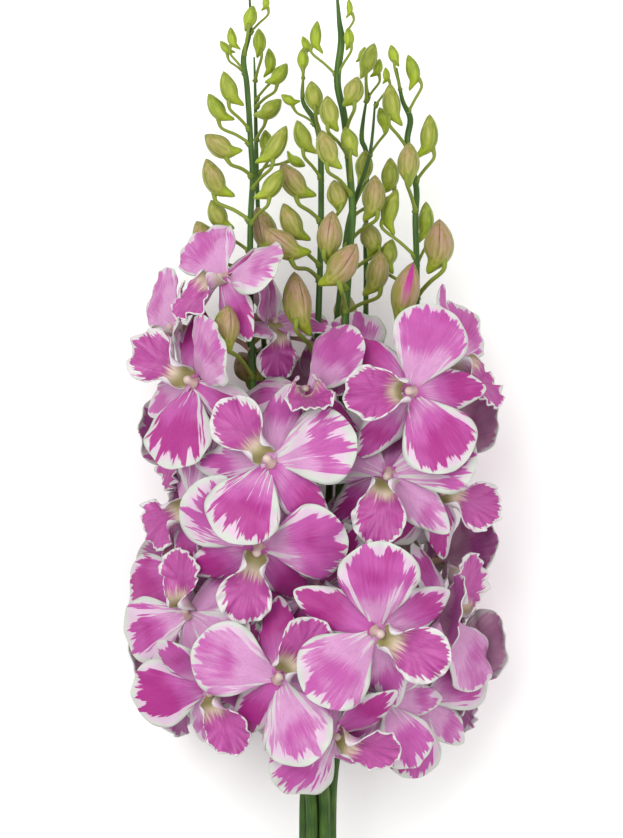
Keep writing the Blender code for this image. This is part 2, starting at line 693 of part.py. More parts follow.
    def find_pedicel(self, bloom: Bloom, middle: Vector, out: Vector, own: Room):
        """The stem and the line of a pedicel from behind the hub to the nearest stem it can reach."""
        start = middle - out * (SPUR_LENGTH * bloom.scale + SEAT_GAP)
        for low in ATTACH:
            place = middle.y - low * PIXEL
            names = sorted(self.lines, key=lambda name: (self.on_stem(name, place) - start).length)
            for name in names[:5]:
                root = self.on_stem(name, place)
                away = (start - root).normalized()
                reach = (start - root).length
                arrive = root + (away + Vector((0, 0.5, 0))) * 0.3 * reach
                stalk = bezier(start, start - out * 0.35 * reach, arrive, root, 4)
                test = tube(stalk, [PEDICEL_RADIUS + 0.4 * MM] * 5, PEDICEL_SIDES)
                if self.clear(test, name) and own.clear(*test) and min(point.z for point in stalk) > 3 * MM:
                    return name, stalk
        return None


def stalk_height(place: float) -> float:
    """Height of the bundle of stalks where it slopes from the flowers down to its cut ends."""
    share = (place - STALK_END) / -STALK_END
    return END_HEIGHT + (AXIS_HEIGHT - 15 * MM) * max(0.0, share)


# Objects.


def material(name: str) -> bpy.types.Material:
    """A plain material with its colour and roughness."""
    colour, rough = MATERIALS[name.split("_")[0]]
    made = bpy.data.materials.new(name)
    made.use_nodes = True
    shader = made.node_tree.nodes["Principled BSDF"]
    shader.inputs["Base Color"].default_value = (*colour, 1)
    shader.inputs["Roughness"].default_value = rough
    made.diffuse_color = (*colour, 1)
    return made


def add_object(name: str, verts: list[Vector], faces: list[tuple], kind: str) -> bpy.types.Object:
    """A mesh object with its faces out and its own material."""
    mesh = bpy.data.meshes.new(name)
    mesh.from_pydata(verts, [], faces)
    edit = bmesh.new()
    edit.from_mesh(mesh)
    bmesh.ops.recalc_face_normals(edit, faces=edit.faces)
    edit.to_mesh(mesh)
    edit.free()
    mesh.materials.append(material(f"{kind}_{name}"))
    made = bpy.data.objects.new(name, mesh)
    bpy.context.scene.collection.objects.link(made)
    return made


def bloom_object(placed: Placed) -> bpy.types.Object:
    """The object of a placed bloom."""
    verts, faces = bloom_mesh(placed, BLADE / 2)
    place = Matrix.Translation(placed.middle) @ placed.turn.to_4x4()
    back = place.inverted()
    made = add_object(placed.bloom.name, [back @ vert for vert in verts], faces, "petal")
    made.matrix_world = place
    return made


def union(name: str, bodies: list[tuple], kind: str) -> bpy.types.Object:
    """Several closed meshes joined into one by a Boolean union on a collection."""
    trunk = add_object(name, *bodies[0], kind)
    group = bpy.data.collections.new(name + "_parts")
    bpy.context.scene.collection.children.link(group)
    for index, (verts, faces) in enumerate(bodies[1:]):
        piece = add_object(f"{name}_piece_{index}", verts, faces, kind)
        bpy.context.scene.collection.objects.unlink(piece)
        group.objects.link(piece)
    joined = trunk.modifiers.new("join", "BOOLEAN")
    joined.operation = "UNION"
    joined.operand_type = "COLLECTION"
    joined.solver = "EXACT"
    joined.collection = group
    bpy.context.view_layer.update()
    evaluated = trunk.evaluated_get(bpy.context.evaluated_depsgraph_get())
    result = bpy.data.meshes.new_from_object(evaluated)
    trunk.modifiers.clear()
    trunk.data = result
    for piece in list(group.objects):
        bpy.data.objects.remove(piece, do_unlink=True)
    bpy.data.collections.remove(group)
    return trunk


def stem_object(stem: Stem, layout: Layout) -> bpy.types.Object:
    """A stem with its pedicels and buds in one body."""
    bodies = [tube(layout.lines[stem.name], layout.radii[stem.name], RACHIS_SIDES)]
    for vert in bodies[0][0]:
        vert.z = max(vert.z, 0.0)
    for twig in layout.twigs[stem.name]:
        bodies += list(twig)
    return union("stem_" + stem.name, bodies, "stem")


def tie_object() -> bpy.types.Object:
    """The tie: a closed band round the stalks, square to the bundle."""
    inner = STALK_PITCH + STALK_RADIUS + SEAT_GAP
    middle = Vector((0, TIE_PLACE, stalk_height(TIE_PLACE)))
    way = Vector((0, 1, stalk_height(TIE_PLACE + 0.01) / 0.01 - stalk_height(TIE_PLACE) / 0.01)).normalized()
    across = Vector((1, 0, 0))
    up = across.cross(way)
    profile = ((inner, -0.5), (inner + TIE_WALL, -0.5), (inner + TIE_WALL, 0.5), (inner, 0.5))
    verts, faces = [], []
    for side in range(TIE_SIDES):
        angle = math.tau * side / TIE_SIDES
        spoke = math.cos(angle) * across + math.sin(angle) * up
        verts += [middle + spoke * reach + way * share * TIE_WIDTH for reach, share in profile]
        after = (side + 1) % TIE_SIDES
        for corner in range(4):
            turn = (corner + 1) % 4
            faces.append((4 * side + corner, 4 * side + turn, 4 * after + turn, 4 * after + corner))
    return add_object("tie_band", verts, faces, "tie")


def shade_smooth(made: bpy.types.Object) -> None:
    """Smooth shading with edges kept where faces meet at over 40 degrees."""
    made.data.shade_smooth()
    made.data.set_sharp_from_angle(angle=math.radians(40))


def set_on_origin(made: list[bpy.types.Object]) -> None:
    """Holds the whole bunch on one empty, set so that the origin is under the middle of its box."""
    corners = [node.matrix_world @ vert.co for node in made for vert in node.data.vertices]
    low = Vector(min(corner[axis] for corner in corners) for axis in range(3))
    high = Vector(max(corner[axis] for corner in corners) for axis in range(3))
    bunch = bpy.data.objects.new("bunch", None)
    bpy.context.scene.collection.objects.link(bunch)
    for node in made:
        node.parent = bunch
    bunch.location = (-(low.x + high.x) / 2, -(low.y + high.y) / 2, -low.z)


def main() -> None:
    """Builds the bunch."""
    for old in list(bpy.data.objects):
        bpy.data.objects.remove(old, do_unlink=True)
    layout = Layout()
    layout.run()
    for name in layout.failed:
        print("NOT PLACED", name)
    made = [stem_object(stem, layout) for stem in STEMS]
    made += [bloom_object(placed) for placed in layout.blooms]
    made.append(tie_object())
    set_on_origin(made)
    for node in made:
        shade_smooth(node)


main()
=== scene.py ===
"""Looks of a bunch of cut dendrobium sprays that lies on its side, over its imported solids.

The layout of the part's source is worked out again here from the same named sizes, so that each fine petal,
bud and stem lies where its solid is. Sizes are in metres, +Y runs along the stems to their tips and +Z up to
the camera.
"""

import logging
import math
import random
from dataclasses import dataclass
from enum import Enum
from typing import Any, NamedTuple

import bmesh
import bpy
import numpy as np
from mathutils import Matrix, Vector, noise
from mathutils.bvhtree import BVHTree


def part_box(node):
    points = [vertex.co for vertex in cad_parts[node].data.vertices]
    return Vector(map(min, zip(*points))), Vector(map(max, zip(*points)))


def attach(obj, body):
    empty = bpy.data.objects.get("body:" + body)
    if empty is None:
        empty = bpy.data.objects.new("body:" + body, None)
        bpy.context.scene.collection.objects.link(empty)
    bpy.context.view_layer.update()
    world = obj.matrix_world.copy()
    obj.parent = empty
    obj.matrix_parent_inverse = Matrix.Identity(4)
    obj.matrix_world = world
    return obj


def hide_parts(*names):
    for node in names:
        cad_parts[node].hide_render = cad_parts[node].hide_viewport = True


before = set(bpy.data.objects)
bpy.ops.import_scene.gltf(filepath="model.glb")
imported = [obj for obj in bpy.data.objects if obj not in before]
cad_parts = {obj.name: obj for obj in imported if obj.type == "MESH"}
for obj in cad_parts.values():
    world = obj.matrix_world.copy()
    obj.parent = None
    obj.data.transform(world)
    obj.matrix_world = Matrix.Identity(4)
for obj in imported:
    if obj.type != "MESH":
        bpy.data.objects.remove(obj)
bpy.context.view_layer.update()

log = logging.getLogger("orchid")

MM = 0.001

# One pixel of the photograph, as it measures on the bunch, and where its axis and its lowest petals are.
PIXEL = 0.45 * MM
PHOTO_AXIS = 318
PHOTO_FOOT = 765

AXIS_HEIGHT = 60 * MM
# How much less the bundle of stalks rises from its cut ends to the flowers than that.
STALK_DROP = 15 * MM

# Bloom: a hub with six limbs on it.
HUB_RADIUS = 4 * MM
BLADE = 0.8 * MM
COLUMN_LENGTH = 6 * MM
SPUR_LENGTH = 3 * MM
PEDICEL_RADIUS = 1.1 * MM
PEDICEL_SIDES = 3
SEAT_GAP = 0.3 * MM
# How much of a petal under the bunch is pressed flat on the surface, measured as depth.
FOOT_DEPTH = 4.5 * MM

# Stems.
STALK_RADIUS = 2.7 * MM
RACHIS_SIDES = 6
# Shares of a stem's length that stay full, and over which it thins to its tip's share of the radius.
BARE_SHARE = 0.22
TAPER_SHARE = 0.6
TIP_SHARE = 0.6
STALK_PITCH = 5.95 * MM
STALK_END = -150 * MM
# Height of the middle of the bundle at its cut ends, where the lowest stalks touch the surface.
END_HEIGHT = 9.4 * MM
TIE_PLACE = -52 * MM
TIE_WIDTH = 9 * MM
TIE_WALL = 1.4 * MM
BUD_SIDES = 5
SMALL_BUD = 14
# A bud from its chin to its tip: places along it, how far it bows to its underside, and its radius.
BUD_ROWS = (0.0, 0.08, 0.36, 0.64, 0.88, 1.0)
BUD_BOW = (-0.02, 0.0, 0.1, 0.07, 0.0, -0.02)
BUD_GIRTH = (0.0, 0.22, 0.46, 0.54, 0.34, 0.0)

# Room that the layout keeps between neighbours: on each side of a petal, and round the rest.
PETAL_ROOM = 1.15 * MM
BUD_ROOM = 0.5 * MM
STALK_ROOM = 0.4 * MM
BLOOM_ROOM = 0.3 * MM
STEM_ROOM = 0.25 * MM
SEED = 41


class Limb(NamedTuple):
    """One limb of a bloom: its direction from the dorsal sepal, its size, and how it bends."""

    name: str
    angle: float
    length: float
    half_width: float
    claw: float
    peak: float
    point: float
    rise: float
    arch: float
    cup: float
    rows: tuple


class Bloom(NamedTuple):
    """An open bloom: photo position of its middle, height of its middle, lip direction and facing."""

    name: str
    across: float
    down: float
    height: float
    lip: float
    tilt: float
    toward: float
    scale: float = 1.0
    foot: bool = False


class Bud(NamedTuple):
    """A bud: its stem, photo positions of its tip and of its chin, its width, and height over its stem."""

    stem: str
    tip_across: float
    tip_down: float
    chin_across: float
    chin_down: float
    width: float
    lift: float = 0.0


class Stem(NamedTuple):
    """A flower stem: its slot in the tie, and photo positions and heights over the axis on its way up."""

    name: str
    slot: int
    girth: float
    way: tuple


PETAL_ROWS = (0.14, 0.4, 0.68, 0.91)
SEPAL_ROWS = (0.3, 0.7)
LIP_ROWS = (0.24, 0.46, 0.76)

LIMBS = (
    Limb("dorsal", 0, 36 * MM, 9.5 * MM, 0.36, 0.48, 1.25, -14, -10, -1.5 * MM, SEPAL_ROWS),
    Limb("petal_left", 66, 37 * MM, 17.5 * MM, 0.2, 0.6, 2.0, 24, -30, -2.0 * MM, PETAL_ROWS),
    Limb("lateral_left", 130, 34 * MM, 9.5 * MM, 0.36, 0.45, 1.2, -16, -14, -1.5 * MM, SEPAL_ROWS),
    Limb("lip", 180, 31 * MM, 12.5 * MM, 0.5, 0.66, 1.7, 30, -26, 2.0 * MM, LIP_ROWS),
    Limb("lateral_right", 230, 34 * MM, 9.5 * MM, 0.36, 0.45, 1.2, -16, -14, -1.5 * MM, SEPAL_ROWS),
    Limb("petal_right", 294, 37 * MM, 17.5 * MM, 0.2, 0.6, 2.0, 24, -30, -2.0 * MM, PETAL_ROWS),
)

# The blooms, front ones first as they are seen, then those of the sides, the back and the underside.
BLOOMS = (
    Bloom("bloom_01", 375, 626, 117, -25, 8, -60, 1.04),
    Bloom("bloom_02", 408, 392, 108, 185, 14, 20),
    Bloom("bloom_03", 271, 461, 112, 130, 12, 150),
    Bloom("bloom_11", 226, 280, 90, -110, 56, 132, 0.86),
    Bloom("bloom_04", 195, 383, 90, 150, 32, 165),
    Bloom("bloom_13", 305, 392, 97, -85, 48, 90, 0.92),
    Bloom("bloom_05", 259, 545, 105, -105, 18, -100),
    Bloom("bloom_06", 280, 673, 106, 45, 18, 190),
    Bloom("bloom_07", 334, 730, 106, -20, 36, -85, 0.9),
    Bloom("bloom_08", 382, 697, 96, 180, 22, 0, 0.95),
    Bloom("bloom_09", 386, 472, 103, -95, 16, 150),
    Bloom("bloom_10", 435, 489, 90, -20, 34, -10),
    Bloom("bloom_12", 352, 368, 84, -150, 22, 90, 0.9),
    Bloom("bloom_14", 453, 358, 70, -60, 62, 35, 0.9),
    Bloom("bloom_15", 444, 532, 64, -80, 66, 5, 0.92),
    Bloom("bloom_16", 444, 615, 74, 40, 56, 0, 0.95),
    Bloom("bloom_17", 432, 704, 78, 140, 24, -20, 0.95),
    Bloom("bloom_18", 190, 612, 82, 85, 38, 180, 0.9),
    Bloom("bloom_19", 172, 570, 66, 85, 52, 175, 0.92),
    Bloom("bloom_20", 203, 505, 84, 200, 50, 190, 0.95),
    Bloom("bloom_21", 204, 686, 84, -60, 26, 215, 0.92),
    Bloom("bloom_22", 236, 712, 88, 75, 18, 240, 0.82),
    Bloom("bloom_23", 176, 326, 58, -120, 66, 165, 0.85),
    Bloom("bloom_24", 172, 430, 58, -120, 70, 185, 0.85),
    Bloom("bloom_25", 258, 318, 66, -90, 48, 70, 0.85),
    Bloom("bloom_26", 318, 585, 84, -60, 14, 90, 0.9),
    Bloom("bloom_27", 190, 672, 30, 90, 128, 180, 0.95, True),
    Bloom("bloom_28", 452, 668, 30, 90, 128, 0, 0.95, True),
    Bloom("bloom_29", 196, 452, 30, 80, 130, 180, 0.95, True),
    Bloom("bloom_30", 440, 440, 30, 80, 130, 0, 0.95, True),
    Bloom("bloom_31", 316, 560, 26, 90, 160, 90, 0.95, True),
    Bloom("bloom_32", 318, 690, 30, 95, 152, -90, 0.95),
    Bloom("bloom_33", 205, 568, 36, 80, 124, 185, 0.9),
    Bloom("bloom_34", 430, 552, 36, 90, 122, 0, 0.9),
    Bloom("bloom_35", 318, 400, 34, 90, 140, 90, 0.9),
)

# The first few buds are placed first, then the first few blooms, the other buds, and the front blooms
# before those that the bunch lies on.
FIRST_BUDS = 3
FIRST_BLOOMS = 5
FRONT_BLOOMS = 13

STEMS = (
    Stem("a", 2, 0.8, ((300, 740, 8), (275, 620, 8), (258, 480, 10), (251, 330, 12), (251, 219, 14),
                       (253, 179, 14), (251, 143, 14), (249, 110, 14), (247, 84, 14), (244, 60, 14),
                       (251, 31, 14), (250, 2, 14))),
    Stem("b", 3, 0.62, ((306, 740, -8), (290, 620, -12), (272, 480, -14), (263, 330, -14), (258, 220, -12),
                        (256, 150, -10), (255, 90, -8), (254, 56, -6))),
    Stem("c", 0, 0.85, ((316, 740, 2), (314, 620, 2), (314, 480, 3), (318, 330, 6), (320, 270, 8),
                        (321, 219, 9), (321, 173, 9), (320, 143, 9), (315, 122, 9), (303, 103, 9),
                        (303, 80, 9))),
    Stem("d", 1, 1.0, ((322, 740, 12), (332, 620, 16), (340, 480, 18), (345, 320, 20), (352, 219, 22),
                       (351, 194, 22), (346, 138, 22), (343, 115, 22), (337, 84, 22), (341, 46, 22),
                       (339, 25, 22), (337, 2, 22))),
    Stem("e", 5, 0.7, ((330, 740, -10), (346, 620, -14), (360, 480, -16), (366, 330, -16), (366, 240, -14),
                       (367, 158, -12), (362, 138, -12), (364, 115, -12), (368, 92, -12))),
    Stem("f", 6, 0.85, ((338, 740, 4), (366, 620, 6), (396, 480, 6), (415, 330, 8), (415, 219, 8),
                        (416, 189, 8), (407, 145, 8), (410, 120, 8), (402, 101, 8), (396, 69, 8))),
    Stem("g", 4, 0.72, ((318, 740, -20), (322, 620, -24), (330, 480, -20), (336, 330, -8), (348, 225, 2),
                        (357, 194, 3), (370, 153, 4), (375, 102, 4))),
)

BUDS = (
    Bud("a", 229, 307, 230, 355, 25, 30),
    Bud("b", 238, 353, 262, 381, 26, 40),
    Bud("b", 256, 313, 250, 348, 22, 24),
    Bud("a", 267, -2, 263, 14, 7),
    Bud("a", 254, 9, 246, 35, 13),
    Bud("b", 259, 28, 258, 58, 13, 4),
    Bud("a", 230, 30, 239, 53, 9),
    Bud("a", 220, 43, 235, 55, 8, -6),
    Bud("b", 270, 47, 266, 77, 11),
    Bud("b", 288, 64, 266, 84, 14, 5),
    Bud("a", 223, 75, 242, 110, 16, 4),
    Bud("a", 208, 97, 233, 124, 15),
    Bud("b", 282, 100, 254, 117, 16, 6),
    Bud("a", 205, 139, 242, 156, 20, 6),
    Bud("b", 266, 128, 262, 156, 13, -4),
    Bud("a", 288, 130, 258, 168, 17, 8),
    Bud("a", 205, 161, 232, 200, 20, -4),
    Bud("b", 305, 165, 286, 150, 10, -8),
    Bud("a", 284, 173, 256, 203, 17, 10),
    Bud("a", 210, 201, 232, 231, 18, -8),
    Bud("a", 195, 222, 222, 255, 22, 6),
    Bud("a", 258, 207, 268, 262, 24, 12),
    Bud("c", 281, 97, 300, 104, 9),
    Bud("c", 302, 38, 312, 55, 8),
    Bud("c", 303, 50, 303, 76, 11, 5),
    Bud("d", 316, 25, 320, 58, 11),
    Bud("c", 311, 84, 318, 118, 17, 10),
    Bud("d", 326, 101, 336, 137, 18, 12),
    Bud("c", 296, 123, 315, 157, 16, 6),
    Bud("d", 320, 136, 339, 175, 20, 14),
    Bud("d", 344, 131, 356, 161, 16, 8),
    Bud("c", 280, 166, 314, 200, 22, 12),
    Bud("c", 334, 182, 340, 215, 20, 14),
    Bud("d", 349, 3, 347, 23, 6),
    Bud("d", 348, 32, 347, 55, 10, 4),
    Bud("e", 375, 42, 361, 78, 16, 4),
    Bud("d", 358, 82, 344, 112, 19, 10),
    Bud("e", 381, 57, 372, 76, 9),
    Bud("e", 366, 44, 357, 60, 7, -5),
    Bud("g", 386, 68, 384, 85, 7),
    Bud("g", 380, 107, 386, 134, 12, -6),
    Bud("g", 376, 177, 366, 224, 22, 12),
    Bud("g", 366, 150, 360, 186, 17, -10),
    Bud("g", 366, 222, 372, 258, 20, 6),
    Bud("c", 282, 206, 308, 244, 20, 8),
    Bud("c", 264, 233, 310, 258, 24, 4),
    Bud("d", 331, 214, 331, 268, 24, 10),
    Bud("d", 357, 248, 320, 290, 27, 14),
    Bud("c", 293, 274, 308, 338, 27, 20),
    Bud("f", 390, 47, 398, 69, 10, 4),
    Bud("f", 409, 56, 412, 92, 13),
    Bud("f", 388, 86, 399, 129, 17, 6),
    Bud("f", 431, 116, 419, 161, 17),
    Bud("f", 408, 145, 408, 190, 21, 12),
    Bud("g", 392, 158, 382, 196, 17, -4),
    Bud("f", 395, 190, 390, 236, 16, 4),
    Bud("f", 427, 202, 420, 244, 15, -6),
    Bud("f", 440, 221, 430, 276, 28, 8),
    Bud("g", 382, 252, 366, 298, 22, 8),
    Bud("f", 391, 239, 390, 274, 17, -4),
    Bud("f", 412, 264, 396, 328, 26, 14),
    Bud("e", 345, 292, 352, 330, 22, -4),
)


def at_photo(across: float, down: float, height: float) -> Vector:
    """The point of the bunch that the photograph shows at pixels across and down, at a height."""
    return Vector(((across - PHOTO_AXIS) * PIXEL, (PHOTO_FOOT - down) * PIXEL, height))


# Shape of a limb: how it swells from its claw, rounds off at its tip and narrows inside the hub.
SWELL = 1.25
ROUNDING = 0.62
HUB_NARROWING = 5
# Side lobes of the lip: their place and length along it, and what they add to its width and to its rise.
LOBE_PLACE = 0.24
LOBE_LENGTH = 0.13
LOBE_WIDTH = 0.12
LOBE_RISE = 6.5 * MM


def half_width(limb: Limb, along: float) -> float:
    """Half the width of a limb at a share of its length.

    Args:
        limb: the limb.
        along: 0 at the hub to 1 at the tip.

    Returns:
        Half the width.
    """
    if along < 0:
        return limb.half_width * limb.claw * (1 + HUB_NARROWING * along)
    if along < limb.peak:
        swell = math.sin(along / limb.peak * math.pi / 2) ** SWELL
        return limb.half_width * (limb.claw + (1 - limb.claw) * swell)
    rest = (along - limb.peak) / (1 - limb.peak)
    return limb.half_width * max(0.0, 1 - rest**limb.point) ** ROUNDING


def lip_fold(limb: Limb, along: float) -> tuple[float, float]:
    """How much wider and more rolled up the lip is where its side lobes stand.

    Args:
        limb: the limb.
        along: 0 at the hub to 1 at the tip.

    Returns:
        A factor on the width, and a lift of the edge.
    """
    if limb.name != "lip":
        return 1.0, 0.0
    lobe = math.exp(-(((along - LOBE_PLACE) / LOBE_LENGTH) ** 2))
    return 1.0 + LOBE_WIDTH * lobe, LOBE_RISE * lobe


def limb_point(
    limb: Limb, bend: float, along: float, aside: float, scale: float, proud: float = 0.0
) -> Vector:
    """Finds a point of a limb in the axes of its bloom.

    Args:
        limb: the limb.
        bend: degrees that it is bent forward.
        along: 0 at the hub to 1 at the tip.
        aside: -1 to 1 across.
        scale: size of the bloom.
        proud: distance that the point stands off the limb's face.

    Returns:
        The point.
    """
    start = math.radians(limb.rise + bend)
    turn = math.radians(limb.arch)
    slope = start + turn * along
    out = HUB_RADIUS + limb.length * (math.sin(slope) - math.sin(start)) / turn
    up = limb.length * (math.cos(start) - math.cos(slope)) / turn
    wider, rolled = lip_fold(limb, along)
    side = aside * half_width(limb, along) * wider
    lift = limb.cup * math.sin(math.pi * max(0.0, along)) * aside**2
    lift = lift + rolled * abs(aside) ** 1.5 + proud
    out -= math.sin(slope) * lift
    up += math.cos(slope) * lift
    angle = math.radians(limb.angle)
    across = -math.sin(angle) * out - math.cos(angle) * side
    return scale * Vector((across, math.cos(angle) * out - math.sin(angle) * side, up))


def limb_grid(limb: Limb, bend: float, scale: float) -> list[list[Vector]]:
    """Rows of three points up a limb, and its tip as a row of one.

    Args:
        limb: the limb.
        bend: degrees that it is bent forward.
        scale: size of the bloom.

    Returns:
        The rows.
    """
    rows = [[limb_point(limb, bend, along, aside, scale) for aside in (-1, 0, 1)] for along in limb.rows]
    return rows + [[limb_point(limb, bend, 1.0, 0, scale)]]


def hub_ring(scale: float) -> list[Vector]:
    """Finds twelve points round the hub: corners between the limbs, and the middle of each limb's root.

    Args:
        scale: size of the bloom.

    Returns:
        The points.
    """
    ring = []
    for index, limb in enumerate(LIMBS):
        before = LIMBS[index - 1].angle - (360 if index == 0 else 0)
        for angle in ((before + limb.angle) / 2, limb.angle):
            turned = math.radians(angle)
            ring.append(scale * HUB_RADIUS * Vector((-math.sin(turned), math.cos(turned), 0)))
    return ring


def strip_faces(rows: list[list[int]]) -> list[tuple[int, int, int]]:
    """Joins rows of three point numbers and a last row of one by triangles.

    Args:
        rows: the rows.

    Returns:
        The triangles.
    """
    faces = []
    for low, high in zip(rows, rows[1:]):
        if len(high) == 1:
            faces += [(low[1], low[0], high[0]), (low[2], low[1], high[0])]
            continue
        for side in (0, 1):
            a, b, c, d = low[side], low[side + 1], high[side + 1], high[side]
            faces += [(b, a, c), (c, a, d)] if side else [(b, a, d), (c, b, d)]
    return faces


# A bloom that faces down by more than this tilt has its dorsal sepal to the tips of the bunch, or across
# it where the bloom faces too much along it for that.
DOWN_TILT = 100
ALONG_BUNCH = 0.8


def facing(bloom: Bloom) -> Matrix:
    """Turns a bloom's own axes to those of the bunch: +Z out of its face, +Y to its dorsal sepal.

    Args:
        bloom: the bloom.

    Returns:
        The turn.
    """
    tilt, toward, lip = (math.radians(angle) for angle in (bloom.tilt, bloom.toward, bloom.lip))
    out = Vector((math.sin(tilt) * math.cos(toward), math.sin(tilt) * math.sin(toward), math.cos(tilt)))
    dorsal = Vector((-math.cos(lip), -math.sin(lip), 0))
    if bloom.tilt > DOWN_TILT:
        dorsal = Vector((0, 1, 0)) if abs(out.y) < ALONG_BUNCH else Vector((1, 0, 0))
    dorsal = (dorsal - dorsal.dot(out) * out).normalized()
    return Matrix((dorsal.cross(out), dorsal, out)).transposed()


# Tubes: stalks, pedicels and buds.


def bezier(a: Vector, b: Vector, c: Vector, d: Vector, steps: int) -> list[Vector]:
    """Finds points on a cubic curve.

    Args:
        a: its start.
        b: its first handle.
        c: its second handle.
        d: its end.
        steps: number of steps.

    Returns:
        The points.
    """
    points = []
    for step in range(steps + 1):
        t = step / steps
        s = 1 - t
        points.append(a * s**3 + b * 3 * s * s * t + c * 3 * s * t * t + d * t**3)
    return points


def tube(points: list[Vector], radii: list[float], sides: int) -> tuple[list[Vector], list[tuple]]:
    """Makes a closed tube round a line. A radius of 0 at either end makes a point of that end.

    Args:
        points: the line.
        radii: radius at each point.
        sides: number of sides.

    Returns:
        Its points and triangles.
    """
    verts, rings = [], []
    side_way = Vector((0.5, 0.0, 0.75**0.5))
    for index, (point, radius) in enumerate(zip(points, radii)):
        way = (points[min(index + 1, len(points) - 1)] - points[max(index - 1, 0)]).normalized()
        side_way = side_way - side_way.dot(way) * way
        if side_way.length < 0.1:
            side_way = way.orthogonal()
        side_way.normalize()
        other = way.cross(side_way)
        if radius == 0:
            rings.append([len(verts)])
            verts.append(point.copy())
            continue
        rings.append(list(range(len(verts), len(verts) + sides)))
        for side in range(sides):
            angle = math.tau * side / sides
            verts.append(point + radius * (math.cos(angle) * side_way + math.sin(angle) * other))
    faces = []
    for low, high in zip(rings, rings[1:]):
        for side in range(sides):
            after = (side + 1) % sides
            if len(low) > 1:
                faces.append((low[side], low[after], high[0] if len(high) == 1 else high[after]))
            if len(high) > 1:
                faces.append((low[0] if len(low) == 1 else low[side], high[after], high[side]))
    for ring, order in ((rings[0], -1), (rings[-1], 1)):
        if len(ring) > 1:
            cap = ring[::order]
            faces += [(cap[0], cap[index], cap[index + 1]) for index in range(1, sides - 1)]
    return verts, faces


def smooth_line(points: list[Vector], steps: int) -> list[Vector]:
    """Draws a smooth line through points or numbers.

    Args:
        points: what it goes through.
        steps: steps from each to the next.

    Returns:
        The line.
    """
    line = []
    for index in range(len(points) - 1):
        before = points[max(index - 1, 0)]
        here, there = points[index], points[index + 1]
        after = points[min(index + 2, len(points) - 1)]
        line += bezier(here, here + (there - before) / 6, there - (after - here) / 6, there, steps)[:-1]
    return line + [points[-1]]


# Layout: each thing is placed so that it is clear of all that is placed already.


class Room:
    """What is placed already, as triangles to test against."""

    def __init__(self) -> None:
        """Starts with nothing placed."""
        self.verts: list[Vector] = []
        self.faces: list[tuple] = []
        self.tree = None

    def add(self, verts: list[Vector], faces: list[tuple]) -> None:
        """Adds a mesh to what is placed.

        Args:
            verts: its points.
            faces: its triangles.
        """
        base = len(self.verts)
        self.verts += verts
        self.faces += [tuple(base + corner for corner in face) for face in faces]
        self.tree = BVHTree.FromPolygons(self.verts, self.faces, all_triangles=True)

    def clear(self, verts: list[Vector], faces: list[tuple]) -> bool:
        """Tests a mesh against what is placed.

        Args:
            verts: its points.
            faces: its triangles.

        Returns:
            True when it crosses nothing.
        """
        if self.tree is None:
            return True
        return not self.tree.overlap(BVHTree.FromPolygons(verts, faces, all_triangles=True))


def thick(points: list[Vector], faces: list[tuple], room: float, foot: bool = False) -> tuple[list, list]:
    """Makes a sheet of triangles a closed body.

    Args:
        points: points of the sheet.
        faces: its triangles.
        room: how far the body reaches to each side.
        foot: whether what touches the surface stays flat.

    Returns:
        Points and triangles of the body.
    """
    normals = [Vector((0, 0, 0)) for _ in points]
    uses: dict[tuple, int] = {}
    for a, b, c in faces:
        normal = (points[b] - points[a]).cross(points[c] - points[a])
        for corner in (a, b, c):
            normals[corner] += normal
        for edge in ((a, b), (b, c), (c, a)):
            uses[edge] = uses.get(edge, 0) + 1
    for point, normal in zip(points, normals):
        if foot and point.z <= BLADE / 2:
            normal.x = normal.y = 0.0
    count = len(points)
    front = [point + normal.normalized() * room for point, normal in zip(points, normals)]
    back = [point - normal.normalized() * room for point, normal in zip(points, normals)]
    solid = list(faces) + [(a + count, c + count, b + count) for a, b, c in faces]
    for a, b in uses:
        if (b, a) not in uses:
            solid += [(a, a + count, b + count), (a, b + count, b)]
    return front + back, solid


class Placed(NamedTuple):
    """A bloom as placed: turn, middle, and the bend of each limb."""

    bloom: Bloom
    turn: Matrix
    middle: Vector
    bends: tuple


def to_bunch(placed_turn: Matrix, middle: Vector, points: list[Vector], foot: bool) -> list[Vector]:
    """Moves points of a bloom to the bunch. On a foot bloom what reaches the surface lies flat on it.

    Args:
        placed_turn: turn of the bloom.
        middle: its middle.
        points: the points.
        foot: whether it is a foot bloom.

    Returns:
        The moved points.
    """
    moved = [placed_turn @ point + middle for point in points]
    if foot:
        for point in moved:
            point.z = max(point.z, BLADE / 2)
    return moved


def bloom_mesh(placed: Placed, reach: float) -> tuple[list[Vector], list[tuple]]:
    """Makes a bloom one closed body: a hub and six limbs that share its edge, a column and a spur.

    Args:
        placed: the bloom as placed.
        reach: half the thickness of its blades.

    Returns:
        Points and triangles.
    """
    bloom = placed.bloom
    points = [Vector((0, 0, 0))] + hub_ring(bloom.scale)
    faces = [(0, 1 + index, 1 + (index + 1) % 12) for index in range(12)]
    for index, (limb, bend) in enumerate(zip(LIMBS, placed.bends)):
        rows = [[1 + 2 * index, 2 + 2 * index, 1 + (2 * index + 2) % 12]]
        for row in limb_grid(limb, bend, bloom.scale):
            rows.append(list(range(len(points), len(points) + len(row))))
            points += row
        faces += strip_faces(rows)
    moved = to_bunch(placed.turn, placed.middle, points, bloom.foot)
    verts, solid = thick(moved, faces, reach, bloom.foot)
    out = placed.turn @ Vector((0, 0, 1))
    verts[0] = placed.middle + out * COLUMN_LENGTH * bloom.scale
    verts[len(points)] = placed.middle - out * SPUR_LENGTH * bloom.scale
    for vert in verts:
        vert.z = max(vert.z, 0.0)
    return verts, solid


